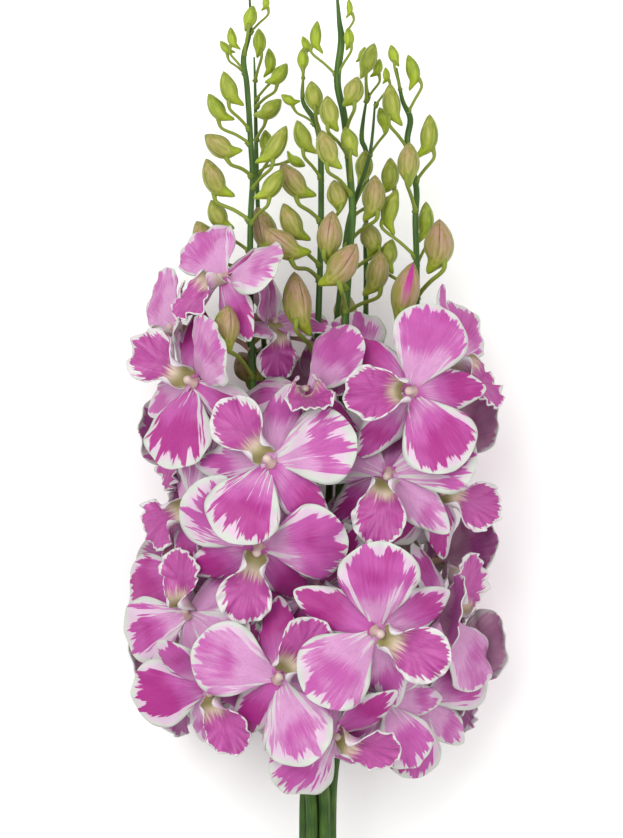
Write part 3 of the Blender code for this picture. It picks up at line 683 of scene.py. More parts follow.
def limb_body(
    limb: Limb, bend: float, bloom: Bloom, turn: Matrix, middle: Vector, rooted: bool
) -> tuple[list, list]:
    """Makes the closed body of one limb with room round it.

    Args:
        limb: the limb.
        bend: degrees that it is bent forward.
        bloom: its bloom.
        turn: turn of the bloom.
        middle: its middle.
        rooted: whether it starts on the hub.

    Returns:
        Points and triangles.
    """
    points, rows = [], []
    grid = limb_grid(limb, bend, bloom.scale)
    if rooted:
        first = 2 * LIMBS.index(limb)
        ring = hub_ring(bloom.scale)
        grid.insert(0, [ring[first], ring[first + 1], ring[(first + 2) % 12]])
    for row in grid:
        rows.append(list(range(len(points), len(points) + len(row))))
        points += row
    return thick(to_bunch(turn, middle, points, bloom.foot), strip_faces(rows), PETAL_ROOM, bloom.foot)


# What the layout tries in turn: bends of a limb, moves of a bloom along its facing and over the photo, and
# how far down the stem a pedicel may start.
BENDS = (0, 9, -9, 18, -18, 28, -28, 38, -38, 50, -50, 62, -62)
PUSHES = (0, -3, 3, -6, 6, -9, 9, -12, 12, -16, 16, -20, 20, -25)
SHIFTS = ((0, 0), (-8, 0), (8, 0), (0, -8), (0, 8), (-14, -10), (14, -10), (-14, 10), (14, 10))
SIZES = (1.0, 0.92, 0.84)
SIZE_COST, PUSH_IN_COST, PUSH_OUT_COST, BEND_COST = 70, 0.8, 1.3, 0.07
TRIES = sorted(
    (
        math.hypot(across, down) + SIZE_COST * (1 - size) + max(-PUSH_IN_COST * push, PUSH_OUT_COST * push),
        size,
        across,
        down,
        push,
    )
    for size in SIZES
    for across, down in SHIFTS
    for push in PUSHES
)
ATTACH = (24, 12, 36, 2, 48, -10)
# For a bud: mm over its own place, and pixels from its chin down to its root.
BUD_LIFTS = (0, 4, -4, 8, -8, 12, -12, 16, -16, 21, -21, 26, -26, 32, -32)
BUD_ROOTS = (22, 34, 12, 46)
# Cut ends spread by this share more than at the tie, and end some mm short of their place or past it.
CUT_SPREAD = 0.45
CUT_SCATTER = (-6, 8)
# Places of the bare stalks along the bunch, and what is left of the radius at a stem's last two points.
STALK_PLACES = (STALK_END, -100 * MM, TIE_PLACE, -18 * MM)
TIP_LEFT = 0.4
NEXT_LEFT = 0.7
# How a bud's tip rises over its length, and how its chin hangs: mostly down, and in part away from its stem.
TIP_RISE = 0.12
CHIN_OUT = 0.5
# A pedicel's radius: a share of its bud's width over a base, between two bounds.
PEDICEL_SHARE = 0.055
PEDICEL_BASE = 0.35 * MM
THIN_PEDICEL = 0.55 * MM
THICK_PEDICEL = 1.0 * MM
# Where it joins the bud: back by a share of the bud's length, and under it by a share of its width.
JOINT_BACK = 0.04
JOINT_UNDER = 0.3
# How far the handles of its curve reach from bud, bloom and stem, as shares of its own reach.
BUD_HANDLE = 0.4
BLOOM_HANDLE = 0.35
STEM_HANDLE = 0.3
# How a pedicel leaves a bud, under it and back, and how far a bloom's turns up its stem as it arrives.
LEAVE_UNDER, LEAVE_BACK = 0.8, 0.3
ARRIVE_UP = 0.5
# The luck of each limb's bend in degrees, the least height of a limb and of a pedicel over the surface, and
# how many stems a pedicel tries to reach.
SLACK = 5
LIMB_CLEARANCE = 1 * MM
PEDICEL_CLEARANCE = 3 * MM
NEAREST_STEMS = 5


class Layout:
    """Works out where every stem, bud and bloom goes."""

    def __init__(self) -> None:
        """Starts with nothing placed."""
        self.random = random.Random(SEED)
        self.rooms = {name: Room() for name in ["blooms"] + [stem.name for stem in STEMS]}
        self.lines: dict[str, list[Vector]] = {}
        self.radii: dict[str, list[float]] = {}
        self.buds: list[tuple[Bud, list[Vector], list[Vector], float]] = []
        self.stalks: list[tuple[str, Placed, list[Vector]]] = []
        self.blooms: list[Placed] = []

    def run(self) -> None:
        """Places everything, the most visible first."""
        for stem in STEMS:
            self.place_stem(stem)
        for bud in BUDS[:FIRST_BUDS]:
            self.place_bud(bud)
        for bloom in BLOOMS[:FIRST_BLOOMS]:
            self.place_bloom(bloom)
        for bud in BUDS[FIRST_BUDS:]:
            self.place_bud(bud)
        feet = [bloom for bloom in BLOOMS if bloom.foot]
        rest = [bloom for bloom in BLOOMS[FRONT_BLOOMS:] if not bloom.foot]
        for bloom in list(BLOOMS[FIRST_BLOOMS:FRONT_BLOOMS]) + feet + rest:
            self.place_bloom(bloom)

    def clear(self, body: tuple, but: str = "") -> bool:
        """Tells whether a closed mesh is clear of all that is placed, but for one stem."""
        return all(room.clear(*body) for name, room in self.rooms.items() if name != but)

    def place_stem(self, stem: Stem) -> None:
        """Works out the line of a stem, from its cut end through the tie to its tip.

        Args:
            stem: the stem.
        """
        ring = Vector((0, 0, 0))
        if stem.slot > 0:
            angle = math.radians(60 * stem.slot)
            ring = STALK_PITCH * Vector((math.cos(angle), 0, math.sin(angle)))
        points = []
        for place in STALK_PLACES:
            spread = 1.0 + CUT_SPREAD * max(0.0, (TIE_PLACE - place) / (TIE_PLACE - STALK_END))
            points.append(Vector((0, place, stalk_height(place))) + ring * spread)
        points[0].y += self.random.uniform(*CUT_SCATTER) * MM
        points += [at_photo(across, down, AXIS_HEIGHT + lift * MM) for across, down, lift in stem.way]
        line = points[:2] + smooth_line(points[2:9], 2) + points[9:]
        lowest, highest = line[0].y, line[-1].y
        radii = []
        for point in line:
            up = (point.y - lowest) / (highest - lowest)
            thinned = min(1.0, max(0.0, up - BARE_SHARE) / TAPER_SHARE)
            radii.append(STALK_RADIUS * (1 - (1 - TIP_SHARE * stem.girth) * thinned))
        radii[-1] *= TIP_LEFT
        radii[-2] *= NEXT_LEFT
        self.lines[stem.name] = line
        self.radii[stem.name] = radii
        self.rooms[stem.name].add(*tube(line, [radius + STEM_ROOM for radius in radii], RACHIS_SIDES))

    def on_stem(self, name: str, place: float) -> Vector:
        """Finds the middle of a stem at a distance along the bunch.

        Args:
            name: the stem.
            place: the distance.

        Returns:
            The point.
        """
        line = self.lines[name]
        for low, high in zip(line, line[1:]):
            if low.y <= place <= high.y:
                return low.lerp(high, (place - low.y) / max(high.y - low.y, 1e-6))
        return line[-1].copy() if place > line[-1].y else line[0].copy()

    def place_bud(self, bud: Bud) -> None:
        """Finds a height at which a bud and its pedicel are clear of the rest.

        Args:
            bud: the bud.
        """
        for step in BUD_LIFTS:
            for low in BUD_ROOTS:
                body, stalk = self.bud_lines(bud, bud.lift + step, low)
                if self.try_bud(bud, body, stalk):
                    return

    def bud_lines(self, bud: Bud, lift: float, low: float) -> tuple[list[Vector], list[Vector]]:
        """Draws the middle lines of a bud, chin to tip, and of its pedicel, bud to stem.

        Args:
            bud: the bud.
            lift: height over its stem, in mm.
            low: pixels from its chin down to its root.

        Returns:
            Both lines.
        """
        near = self.on_stem(bud.stem, at_photo(0, bud.chin_down, 0).y)
        height = near.z + lift * MM
        chin = at_photo(bud.chin_across, bud.chin_down, height)
        tip = at_photo(bud.tip_across, bud.tip_down, height)
        tip.z += TIP_RISE * (tip - chin).length
        length, way = (tip - chin).length, (tip - chin).normalized()
        outward = Vector((chin.x - near.x, 0, chin.z - near.z)).normalized()
        under = outward * CHIN_OUT + Vector((0, -1, 0))
        under = (under - under.dot(way) * way).normalized()
        body = [chin + way * length * along + under * length * bow for along, bow in zip(BUD_ROWS, BUD_BOW)]
        joint = body[2] - way * JOINT_BACK * length + under * JOINT_UNDER * bud.width * PIXEL
        root = self.on_stem(bud.stem, chin.y - low * PIXEL)
        reach = (joint - root).length
        leave = joint + (under * LEAVE_UNDER - way * LEAVE_BACK) * BUD_HANDLE * reach
        arrive = root + Vector((joint.x - root.x, 0, joint.z - root.z)) * STEM_HANDLE
        arrive = arrive + Vector((0, STEM_HANDLE * reach, 0))
        return body, bezier(joint, leave, arrive, root, 3)

    def try_bud(self, bud: Bud, body: list[Vector], stalk: list[Vector]) -> bool:
        """Keeps a bud when it is clear of all, and its pedicel of all but its own stem.

        Args:
            bud: the bud.
            body: its middle line.
            stalk: the line of its pedicel.

        Returns:
            True when it is kept.
        """
        width = bud.width * PIXEL
        grown = [0.0] + [width * share + BUD_ROOM for share in BUD_GIRTH[1:-1]] + [0.0]
        thin = max(THIN_PEDICEL, min(THICK_PEDICEL, PEDICEL_SHARE * width + PEDICEL_BASE))
        sides = BUD_SIDES if bud.width > SMALL_BUD else BUD_SIDES - 1
        test_body = tube(body, grown, sides)
        test_stalk = tube(stalk, [thin + STALK_ROOM] * 4, PEDICEL_SIDES)
        if not self.clear(test_body) or not self.clear(test_stalk, bud.stem):
            return False
        self.rooms[bud.stem].add(*test_body)
        self.rooms[bud.stem].add(*test_stalk)
        self.buds.append((bud, body, stalk, thin))
        return True

    def place_bloom(self, bloom: Bloom) -> None:
        """Finds a place and limb bends at which a bloom and its pedicel are clear of the rest.

        Args:
            bloom: the bloom.
        """
        turn = facing(bloom)
        out = turn @ Vector((0, 0, 1))
        jitter = [self.random.uniform(-SLACK, SLACK) for _ in LIMBS]
        start = at_photo(bloom.across, bloom.down, bloom.height * MM)
        if bloom.foot:
            rows = [row for limb, slack in zip(LIMBS, jitter) for row in limb_grid(limb, slack, bloom.scale)]
            start.z = -min((turn @ point).z for row in rows for point in row) - FOOT_DEPTH
        best, found = 1e9, None
        for cost, smaller, across, down, push in TRIES:
            if cost >= best:
                break
            sized = bloom._replace(scale=bloom.scale * smaller)
            middle = start + (Vector((out.x, out.y, 0)) if bloom.foot else out) * push * MM
            middle += Vector((across, -down, 0)) * PIXEL
            placed = self.try_bloom(sized, turn, middle, jitter)
            if placed is None:
                continue
            total = cost + BEND_COST * sum(abs(bend - slack) for bend, slack in zip(placed[0].bends, jitter))
            if total < best:
                best, found = total, placed
        if found is None:
            return
        placed, name, stalk = found
        self.rooms["blooms"].add(*bloom_mesh(placed, BLADE / 2 + BLOOM_ROOM))
        self.rooms[name].add(*tube(stalk, [PEDICEL_RADIUS + STALK_ROOM] * 5, PEDICEL_SIDES))
        self.stalks.append((name, placed, stalk))
        self.blooms.append(placed)

    def try_bloom(self, bloom: Bloom, turn: Matrix, middle: Vector, jitter: list[float]) -> tuple | None:
        """Tries a bloom at one place.

        Args:
            bloom: the bloom.
            turn: its turn.
            middle: its middle.
            jitter: a small bend of each limb.

        Returns:
            The bloom as placed, its stem's name and its pedicel, or None where a limb finds no clear bend.
        """
        own = Room()
        bends = {}
        for limb, slack in sorted(zip(LIMBS, jitter), key=lambda pair: "petal" not in pair[0].name):
            for bend in BENDS:
                body = limb_body(limb, bend + slack, bloom, turn, middle, True)
                if not bloom.foot and min(point.z for point in body[0]) < LIMB_CLEARANCE:
                    continue
                outer = limb_body(limb, bend + slack, bloom, turn, middle, False)
                if self.clear(body) and own.clear(*outer):
                    break
            else:
                return None
            own.add(*outer)
            bends[limb.name] = bend + slack
        placed = Placed(bloom, turn, middle, tuple(bends[limb.name] for limb in LIMBS))
        whole = bloom_mesh(placed, BLADE / 2 + BLOOM_ROOM)
        if not self.clear(whole):
            return None
        own.add(*whole)
        pedicel = self.find_pedicel(bloom, middle, turn @ Vector((0, 0, 1)), own)
        return (placed, *pedicel) if pedicel else None

    def find_pedicel(self, bloom: Bloom, middle: Vector, out: Vector, own: Room) -> tuple[str, list] | None:
        """Finds a pedicel from behind the hub to the nearest stem that it can reach.

        Args:
            bloom: the bloom.
            middle: its middle.
            out: the way that it faces.
            own: room that its limbs take.

        Returns:
            The stem's name and the line, or None.
        """
        start = middle - out * (SPUR_LENGTH * bloom.scale + SEAT_GAP)
        for low in ATTACH:
            place = middle.y - low * PIXEL
            names = sorted(self.lines, key=lambda name: (self.on_stem(name, place) - start).length)
            for name in names[:NEAREST_STEMS]:
                root = self.on_stem(name, place)
                away = (start - root).normalized()
                reach = (start - root).length
                arrive = root + (away + Vector((0, ARRIVE_UP, 0))) * STEM_HANDLE * reach
                stalk = bezier(start, start - out * BLOOM_HANDLE * reach, arrive, root, 4)
                test = tube(stalk, [PEDICEL_RADIUS + STALK_ROOM] * 5, PEDICEL_SIDES)
                lowest = min(point.z for point in stalk)
                if lowest > PEDICEL_CLEARANCE and self.clear(test, name) and own.clear(*test):
                    return name, stalk
        return None


def stalk_height(place: float) -> float:
    """Height of the bundle of stalks at a place where it slopes from the flowers down to its cut ends."""
    share = (place - STALK_END) / -STALK_END
    return END_HEIGHT + (AXIS_HEIGHT - STALK_DROP) * max(0.0, share)


# Colours and finishes. Most patterns lie on the mark "leaf", which is in mm, so a noise of scale 0.25 has
# clouds about 4 mm wide.

# A band from one number to the next is softened like this.
SMOOTH = {"interpolation_type": "SMOOTHSTEP"}
# How light goes into thin living blades.
LIVING = {"Subsurface Weight": 0.15, "Subsurface Radius": (1.0, 0.5, 0.7), "Subsurface Scale": 1.2 * MM}


def linear(code: str) -> tuple[float, float, float, float]:
    """Turns an sRGB hex colour to linear.

    Args:
        code: the colour, such as "#B0208A".

    Returns:
        Linear red, green and blue, and alpha.
    """
    parts = [int(code[at : at + 2], 16) / 255 for at in (1, 3, 5)]
    red, green, blue = (
        part / 12.92 if part <= 0.04045 else ((part + 0.055) / 1.055) ** 2.4 for part in parts
    )
    return red, green, blue, 1.0


def feed(tree: bpy.types.NodeTree, into: bpy.types.NodeSocket, value: Any) -> None:
    """Gives an input a socket, a value or a hex colour.

    Args:
        tree: the tree.
        into: the input.
        value: what it is given.
    """
    if isinstance(value, bpy.types.NodeSocket):
        tree.links.new(value, into)
    else:
        into.default_value = linear(value) if isinstance(value, str) else value


def add(tree: bpy.types.NodeTree, kind: str, inputs: Any, out: int | str = 0, **settings: Any) -> Any:
    """Adds a node with its settings and links.

    Args:
        tree: the tree it is added to.
        kind: its type, without ShaderNode.
        inputs: what each input is given, by name or number, or in the node's own order.
        out: the output that is wanted.
        settings: its own settings.

    Returns:
        The output.
    """
    made = tree.nodes.new("ShaderNode" + kind)
    for name, value in settings.items():
        setattr(made, name, value)
    for key, value in inputs.items() if isinstance(inputs, dict) else enumerate(inputs):
        feed(tree, made.inputs[key], value)
    return made.outputs[out]


class Finish:
    """What all finishes share: a material whose one surface takes what the finish works out."""

    name: str

    def build(self) -> bpy.types.Material:
        """Makes the material.

        Returns:
            The material.
        """
        made = bpy.data.materials.new(self.name)
        made.use_nodes = True
        shader = made.node_tree.nodes["Principled BSDF"]
        for key, value in self.surface(made.node_tree).items():
            feed(made.node_tree, shader.inputs[key], value)
        return made

    def surface(self, tree: bpy.types.NodeTree) -> dict[str, Any]:
        """Works out what goes into the inputs of the surface.

        Args:
            tree: the tree.

        Returns:
            A socket, a value or a hex colour by the name of each input.
        """
        raise NotImplementedError


class BladeFinish(Finish):
    """What petals and lips share: patterns that run out from the root in rays, in each limb another way."""

    # How far the rays meet under the root, how thin they are and how fast they change on their way.
    RAYS = (9.0, 30.0, 0.09)
    LUCK = 60.0
    # The band off the middle of a noise over which a vein fades, and what it fades from and to.
    VEIN = (0.0, 0.05, 1.0, 0.0)

    def marks(self, tree: bpy.types.NodeTree) -> tuple[Any, Any, Any, Any]:
        """Reads what the mesh says of a place.

        Args:
            tree: the tree.

        Returns:
            The flat pattern and its three parts, a number of the limb's own, and the place among the rays.
        """
        leaf = add(tree, "Attribute", (), "Vector", attribute_name="leaf")
        share = add(tree, "Attribute", (), "Fac", attribute_name="share")
        flat = add(tree, "SeparateXYZ", (leaf,)).node.outputs
        root, thin, slow = self.RAYS
        reach = add(tree, "Math", (flat[1], root), operation="ADD")
        fan = add(tree, "Math", (flat[0], reach), operation="ARCTAN2")
        across = add(tree, "Math", (fan, thin), operation="MULTIPLY")
        up = add(tree, "Math", (flat[1], slow), operation="MULTIPLY")
        luck = add(tree, "Math", (share, self.LUCK), operation="MULTIPLY")
        return leaf, flat, share, add(tree, "CombineXYZ", (across, up, luck))

    def veins(self, tree: bpy.types.NodeTree, threads: Any) -> Any:
        """Draws veins where a noise crosses its middle.

        Args:
            tree: the tree.
            threads: the noise.

        Returns:
            The socket with 1 on a vein and 0 beside it.
        """
        off = add(tree, "Math", (threads, 0.5), operation="SUBTRACT")
        off = add(tree, "Math", (off,), operation="ABSOLUTE")
        return add(tree, "MapRange", (off, *self.VEIN), **SMOOTH)


@dataclass(frozen=True)
class PetalFinish(BladeFinish):
    """Living orchid petal: thin, waxy and softly lit through, so its colour is matt with a low sheen.

    The flat pattern of each blade is in the attribute "leaf": mm across, mm up, and distance from the edge as
    a share of its white rim. Colour runs out from the root in rays, and the rim eats into it like flames.
    """

    name: str
    deep: str
    mid: str
    pale: str
    vein: str
    margin: str
    blush: str
    white: float
    flame: float
    veining: float

    # What clouds, a limb's luck and streaks do to its tone, as a factor and a shift.
    CLOUD = (1.1, -0.4)
    OWN = (0.95, -0.52)
    STREAK = (0.55, -0.05)
    # How uneven the blush of the rim is.
    BLUSH_CLOUD = 1.2
    # Bands of distance or tone over which one colour gives way to the next, and what they become.
    PALE_ROOT = (3.0, 24.0, 0.45, 0.0)
    TO_MID = (0.05, 0.5)
    TO_PALE = (0.5, 0.95)
    TO_BLUSH = (0.7, 1.6)
    RIM_EDGE = (-0.14, 0.2)
    RIM_ROOT = (4.0, 16.0)
    ROOT_LOSS = 0.7
    # How deep broad and fine flames cut into the colour, in widths of the rim.
    BROAD, FINE = 5.2, 2.4

    def surface(self, tree: bpy.types.NodeTree) -> dict[str, Any]:
        """Works out what goes into the inputs of the surface.

        Args:
            tree: the tree.

        Returns:
            A socket or a value by the name of each input.
        """
        leaf, flat, share, rays = self.marks(tree)
        broad = add(tree, "TexNoise", {"Vector": rays, "Scale": 0.3, "Detail": 1.5})
        fine = add(tree, "TexNoise", {"Vector": rays, "Scale": 1.1, "Detail": 3.0})
        veins = self.veins(tree, add(tree, "TexNoise", {"Vector": rays, "Scale": 2.2, "Detail": 1.0}))
        strength = add(tree, "Math", (veins, self.veining), operation="MULTIPLY")
        body = self.body(tree, leaf, flat[1], share, fine)
        body = add(tree, "Mix", {0: strength, 6: body, 7: self.vein}, 2, data_type="RGBA")
        # The white rim is faintly green at its edge and blushes towards the body.
        cloud = add(tree, "TexNoise", {"Vector": leaf, "Scale": 0.25, "Detail": 2.0})
        inward = add(tree, "Math", (cloud, self.BLUSH_CLOUD, flat[2]), operation="MULTIPLY_ADD")
        tinged = add(tree, "MapRange", (inward, *self.TO_BLUSH), **SMOOTH)
        edge = add(tree, "Mix", {0: tinged, 6: self.margin, 7: self.blush}, 2, data_type="RGBA")
        mask = self.rim(tree, flat, broad, fine)
        height = add(tree, "Math", (veins, fine), operation="ADD")
        return {
            "Base Color": add(tree, "Mix", {0: mask, 6: body, 7: edge}, 2, data_type="RGBA"),
            "Normal": add(tree, "Bump", {"Height": height, "Strength": 0.35, "Distance": 0.15 * MM}),
            "Roughness": 0.48,
            "IOR": 1.42,
            **LIVING,
        }

    def body(self, tree: bpy.types.NodeTree, leaf: Any, up: Any, share: Any, fine: Any) -> Any:
        """Mixes the colour inside the rim from deep to pale, in clouds and fine streaks, palest at the root.

        Args:
            tree: the tree.
            leaf: the flat pattern.
            up: mm up it.
            share: a number of the limb's own, which makes the whole limb deeper or paler.
            fine: fine streaks.

        Returns:
            The socket with the colour.
        """
        noise_settings = {"Vector": leaf, "Scale": 0.06, "Detail": 1.0, "W": share}
        cloud = add(tree, "TexNoise", noise_settings, noise_dimensions="4D")
        tone = add(tree, "MapRange", (up, *self.PALE_ROOT), **SMOOTH)
        for part, effect in ((cloud, self.CLOUD), (share, self.OWN), (fine, self.STREAK)):
            shift = add(tree, "Math", (part, *effect), operation="MULTIPLY_ADD")
            tone = add(tree, "Math", (tone, shift), operation="ADD")
        low = add(tree, "MapRange", (tone, *self.TO_MID), **SMOOTH)
        high = add(tree, "MapRange", (tone, *self.TO_PALE), **SMOOTH)
        first = add(tree, "Mix", {0: low, 6: self.deep, 7: self.mid}, 2, data_type="RGBA")
        return add(tree, "Mix", {0: high, 6: first, 7: self.pale}, 2, data_type="RGBA")

    def rim(self, tree: bpy.types.NodeTree, flat: Any, broad: Any, fine: Any) -> Any:
        """Finds the white rim, whose inner bound runs in flames along the rays and which thins at the root.

        Args:
            tree: the tree.
            flat: the three parts of the flat pattern.
            broad: broad flames.
            fine: fine ones.

        Returns:
            The socket with 1 in the rim and 0 inside it.
        """
        limit = add(tree, "MapRange", (flat[1], *self.RIM_ROOT, self.white - self.ROOT_LOSS, self.white))
        for flames, depth in ((broad, self.BROAD * self.flame), (fine, self.FINE * self.flame)):
            cut = add(tree, "Math", (flames, depth, -depth / 2), operation="MULTIPLY_ADD")
            limit = add(tree, "Math", (limit, cut), operation="ADD")
        inside = add(tree, "Math", (limit, flat[2]), operation="SUBTRACT")
        return add(tree, "MapRange", (inside, *self.RIM_EDGE), **SMOOTH)


@dataclass(frozen=True)
class LipFinish(BladeFinish):
    """Orchid lip: like the petals, but its veins fan out from a cream and olive throat to a ruffled rim."""

    name: str
    throat: str
    cream: str
    mid: str
    deep: str
    margin: str
    veining: float

    RAYS = (4.0, 24.0, 0.07)
    VEIN = (0.01, 0.07, 1.0, 0.0)
    # The flush of the middle: how fast it narrows and where it ends. Then how far up the olive turns to cream
    # and how far, by the noise of the veins, the cream reaches.
    FLUSH_SLOPE = 1.6
    FLUSH = (12.0, 19.0, 0.75, 0.0)
    TO_CREAM = (2.0, 7.0)
    CREAM_REACH = (9.0, 4.5)
    CREAM_EDGE = (-3.0, 3.0)
    # How uneven the rim is, by a cloud and by the noise of the veins.
    RIM_CLOUD = (3.4, -2.4)
    RIM_THREADS = 2.6
    RIM_EDGE = (-0.15, 0.15)

    def surface(self, tree: bpy.types.NodeTree) -> dict[str, Any]:
        """Works out what goes into the inputs of the surface.

        Args:
            tree: the tree.

        Returns:
            A socket or a value by the name of each input.
        """
        leaf, flat, _, rays = self.marks(tree)
        threads = add(tree, "TexNoise", {"Vector": rays, "Scale": 1.0, "Detail": 1.0})
        veins = self.veins(tree, threads)
        cloud = add(tree, "TexNoise", {"Vector": leaf, "Scale": 0.12, "Detail": 2.0})
        colour = add(tree, "Mix", {0: cloud, 6: self.deep, 7: self.mid}, 2, data_type="RGBA")
        # The middle of the lip flushes beyond the throat.
        aside = add(tree, "Math", (flat[0],), operation="ABSOLUTE")
        flush = add(tree, "Math", (aside, self.FLUSH_SLOPE, flat[1]), operation="MULTIPLY_ADD")
        flush = add(tree, "MapRange", (flush, *self.FLUSH), **SMOOTH)
        colour = add(tree, "Mix", {0: flush, 6: colour, 7: self.deep}, 2, data_type="RGBA")
        jagged = add(tree, "Math", (threads, *self.CREAM_REACH), operation="MULTIPLY_ADD")
        out = add(tree, "Math", (flat[1], jagged), operation="SUBTRACT")
        out = add(tree, "MapRange", (out, *self.CREAM_EDGE), **SMOOTH)
        inner = add(tree, "MapRange", (flat[1], *self.TO_CREAM), **SMOOTH)
        inner = add(tree, "Mix", {0: inner, 6: self.throat, 7: self.cream}, 2, data_type="RGBA")
        colour = add(tree, "Mix", {0: out, 6: inner, 7: colour}, 2, data_type="RGBA")
        strength = add(tree, "Math", (veins, out), operation="MULTIPLY")
        strength = add(tree, "Math", (strength, self.veining), operation="MULTIPLY")
        colour = add(tree, "Mix", {0: strength, 6: colour, 7: self.deep}, 2, data_type="RGBA")
        limit = add(tree, "Math", (cloud, *self.RIM_CLOUD), operation="MULTIPLY_ADD")
        limit = add(tree, "Math", (threads, self.RIM_THREADS, limit), operation="MULTIPLY_ADD")
        mask = add(tree, "Math", (limit, flat[2]), operation="SUBTRACT")
        mask = add(tree, "MapRange", (mask, *self.RIM_EDGE), **SMOOTH)
        return {
            "Base Color": add(tree, "Mix", {0: mask, 6: colour, 7: self.margin}, 2, data_type="RGBA"),
            "Normal": add(tree, "Bump", {"Height": veins, "Strength": 0.4, "Distance": 0.2 * MM}),
            "Roughness": 0.42,
            **LIVING,
        }


@dataclass(frozen=True)
class ColumnFinish(Finish):
    """Orchid column: waxy, pale pink at its foot and white at the cap on its tip."""

    name: str
    foot: str
    cap: str

    # How uneven the bound of the cap is and where it lies, in mm up the column.
    CLOUD = 2.0
    CAP = (3.0, 7.5)

    def surface(self, tree: bpy.types.NodeTree) -> dict[str, Any]:
        """Works out what goes into the inputs of the surface.

        Args:
            tree: the tree.

        Returns:
            A socket or a value by the name of each input.
        """
        leaf = add(tree, "Attribute", (), "Vector", attribute_name="leaf")
        up = add(tree, "SeparateXYZ", (leaf,), 2)
        cloud = add(tree, "TexNoise", {"Vector": leaf, "Scale": 0.6, "Detail": 2.0})
        mask = add(tree, "Math", (cloud, self.CLOUD, up), operation="MULTIPLY_ADD")
        mask = add(tree, "MapRange", (mask, *self.CAP), **SMOOTH)
        return {
            "Base Color": add(tree, "Mix", {0: mask, 6: self.foot, 7: self.cap}, 2, data_type="RGBA"),
            "Roughness": 0.35,
            "Subsurface Weight": 0.2,
            "Subsurface Radius": (1.0, 0.6, 0.6),
            "Subsurface Scale": 1.5 * MM,
        }


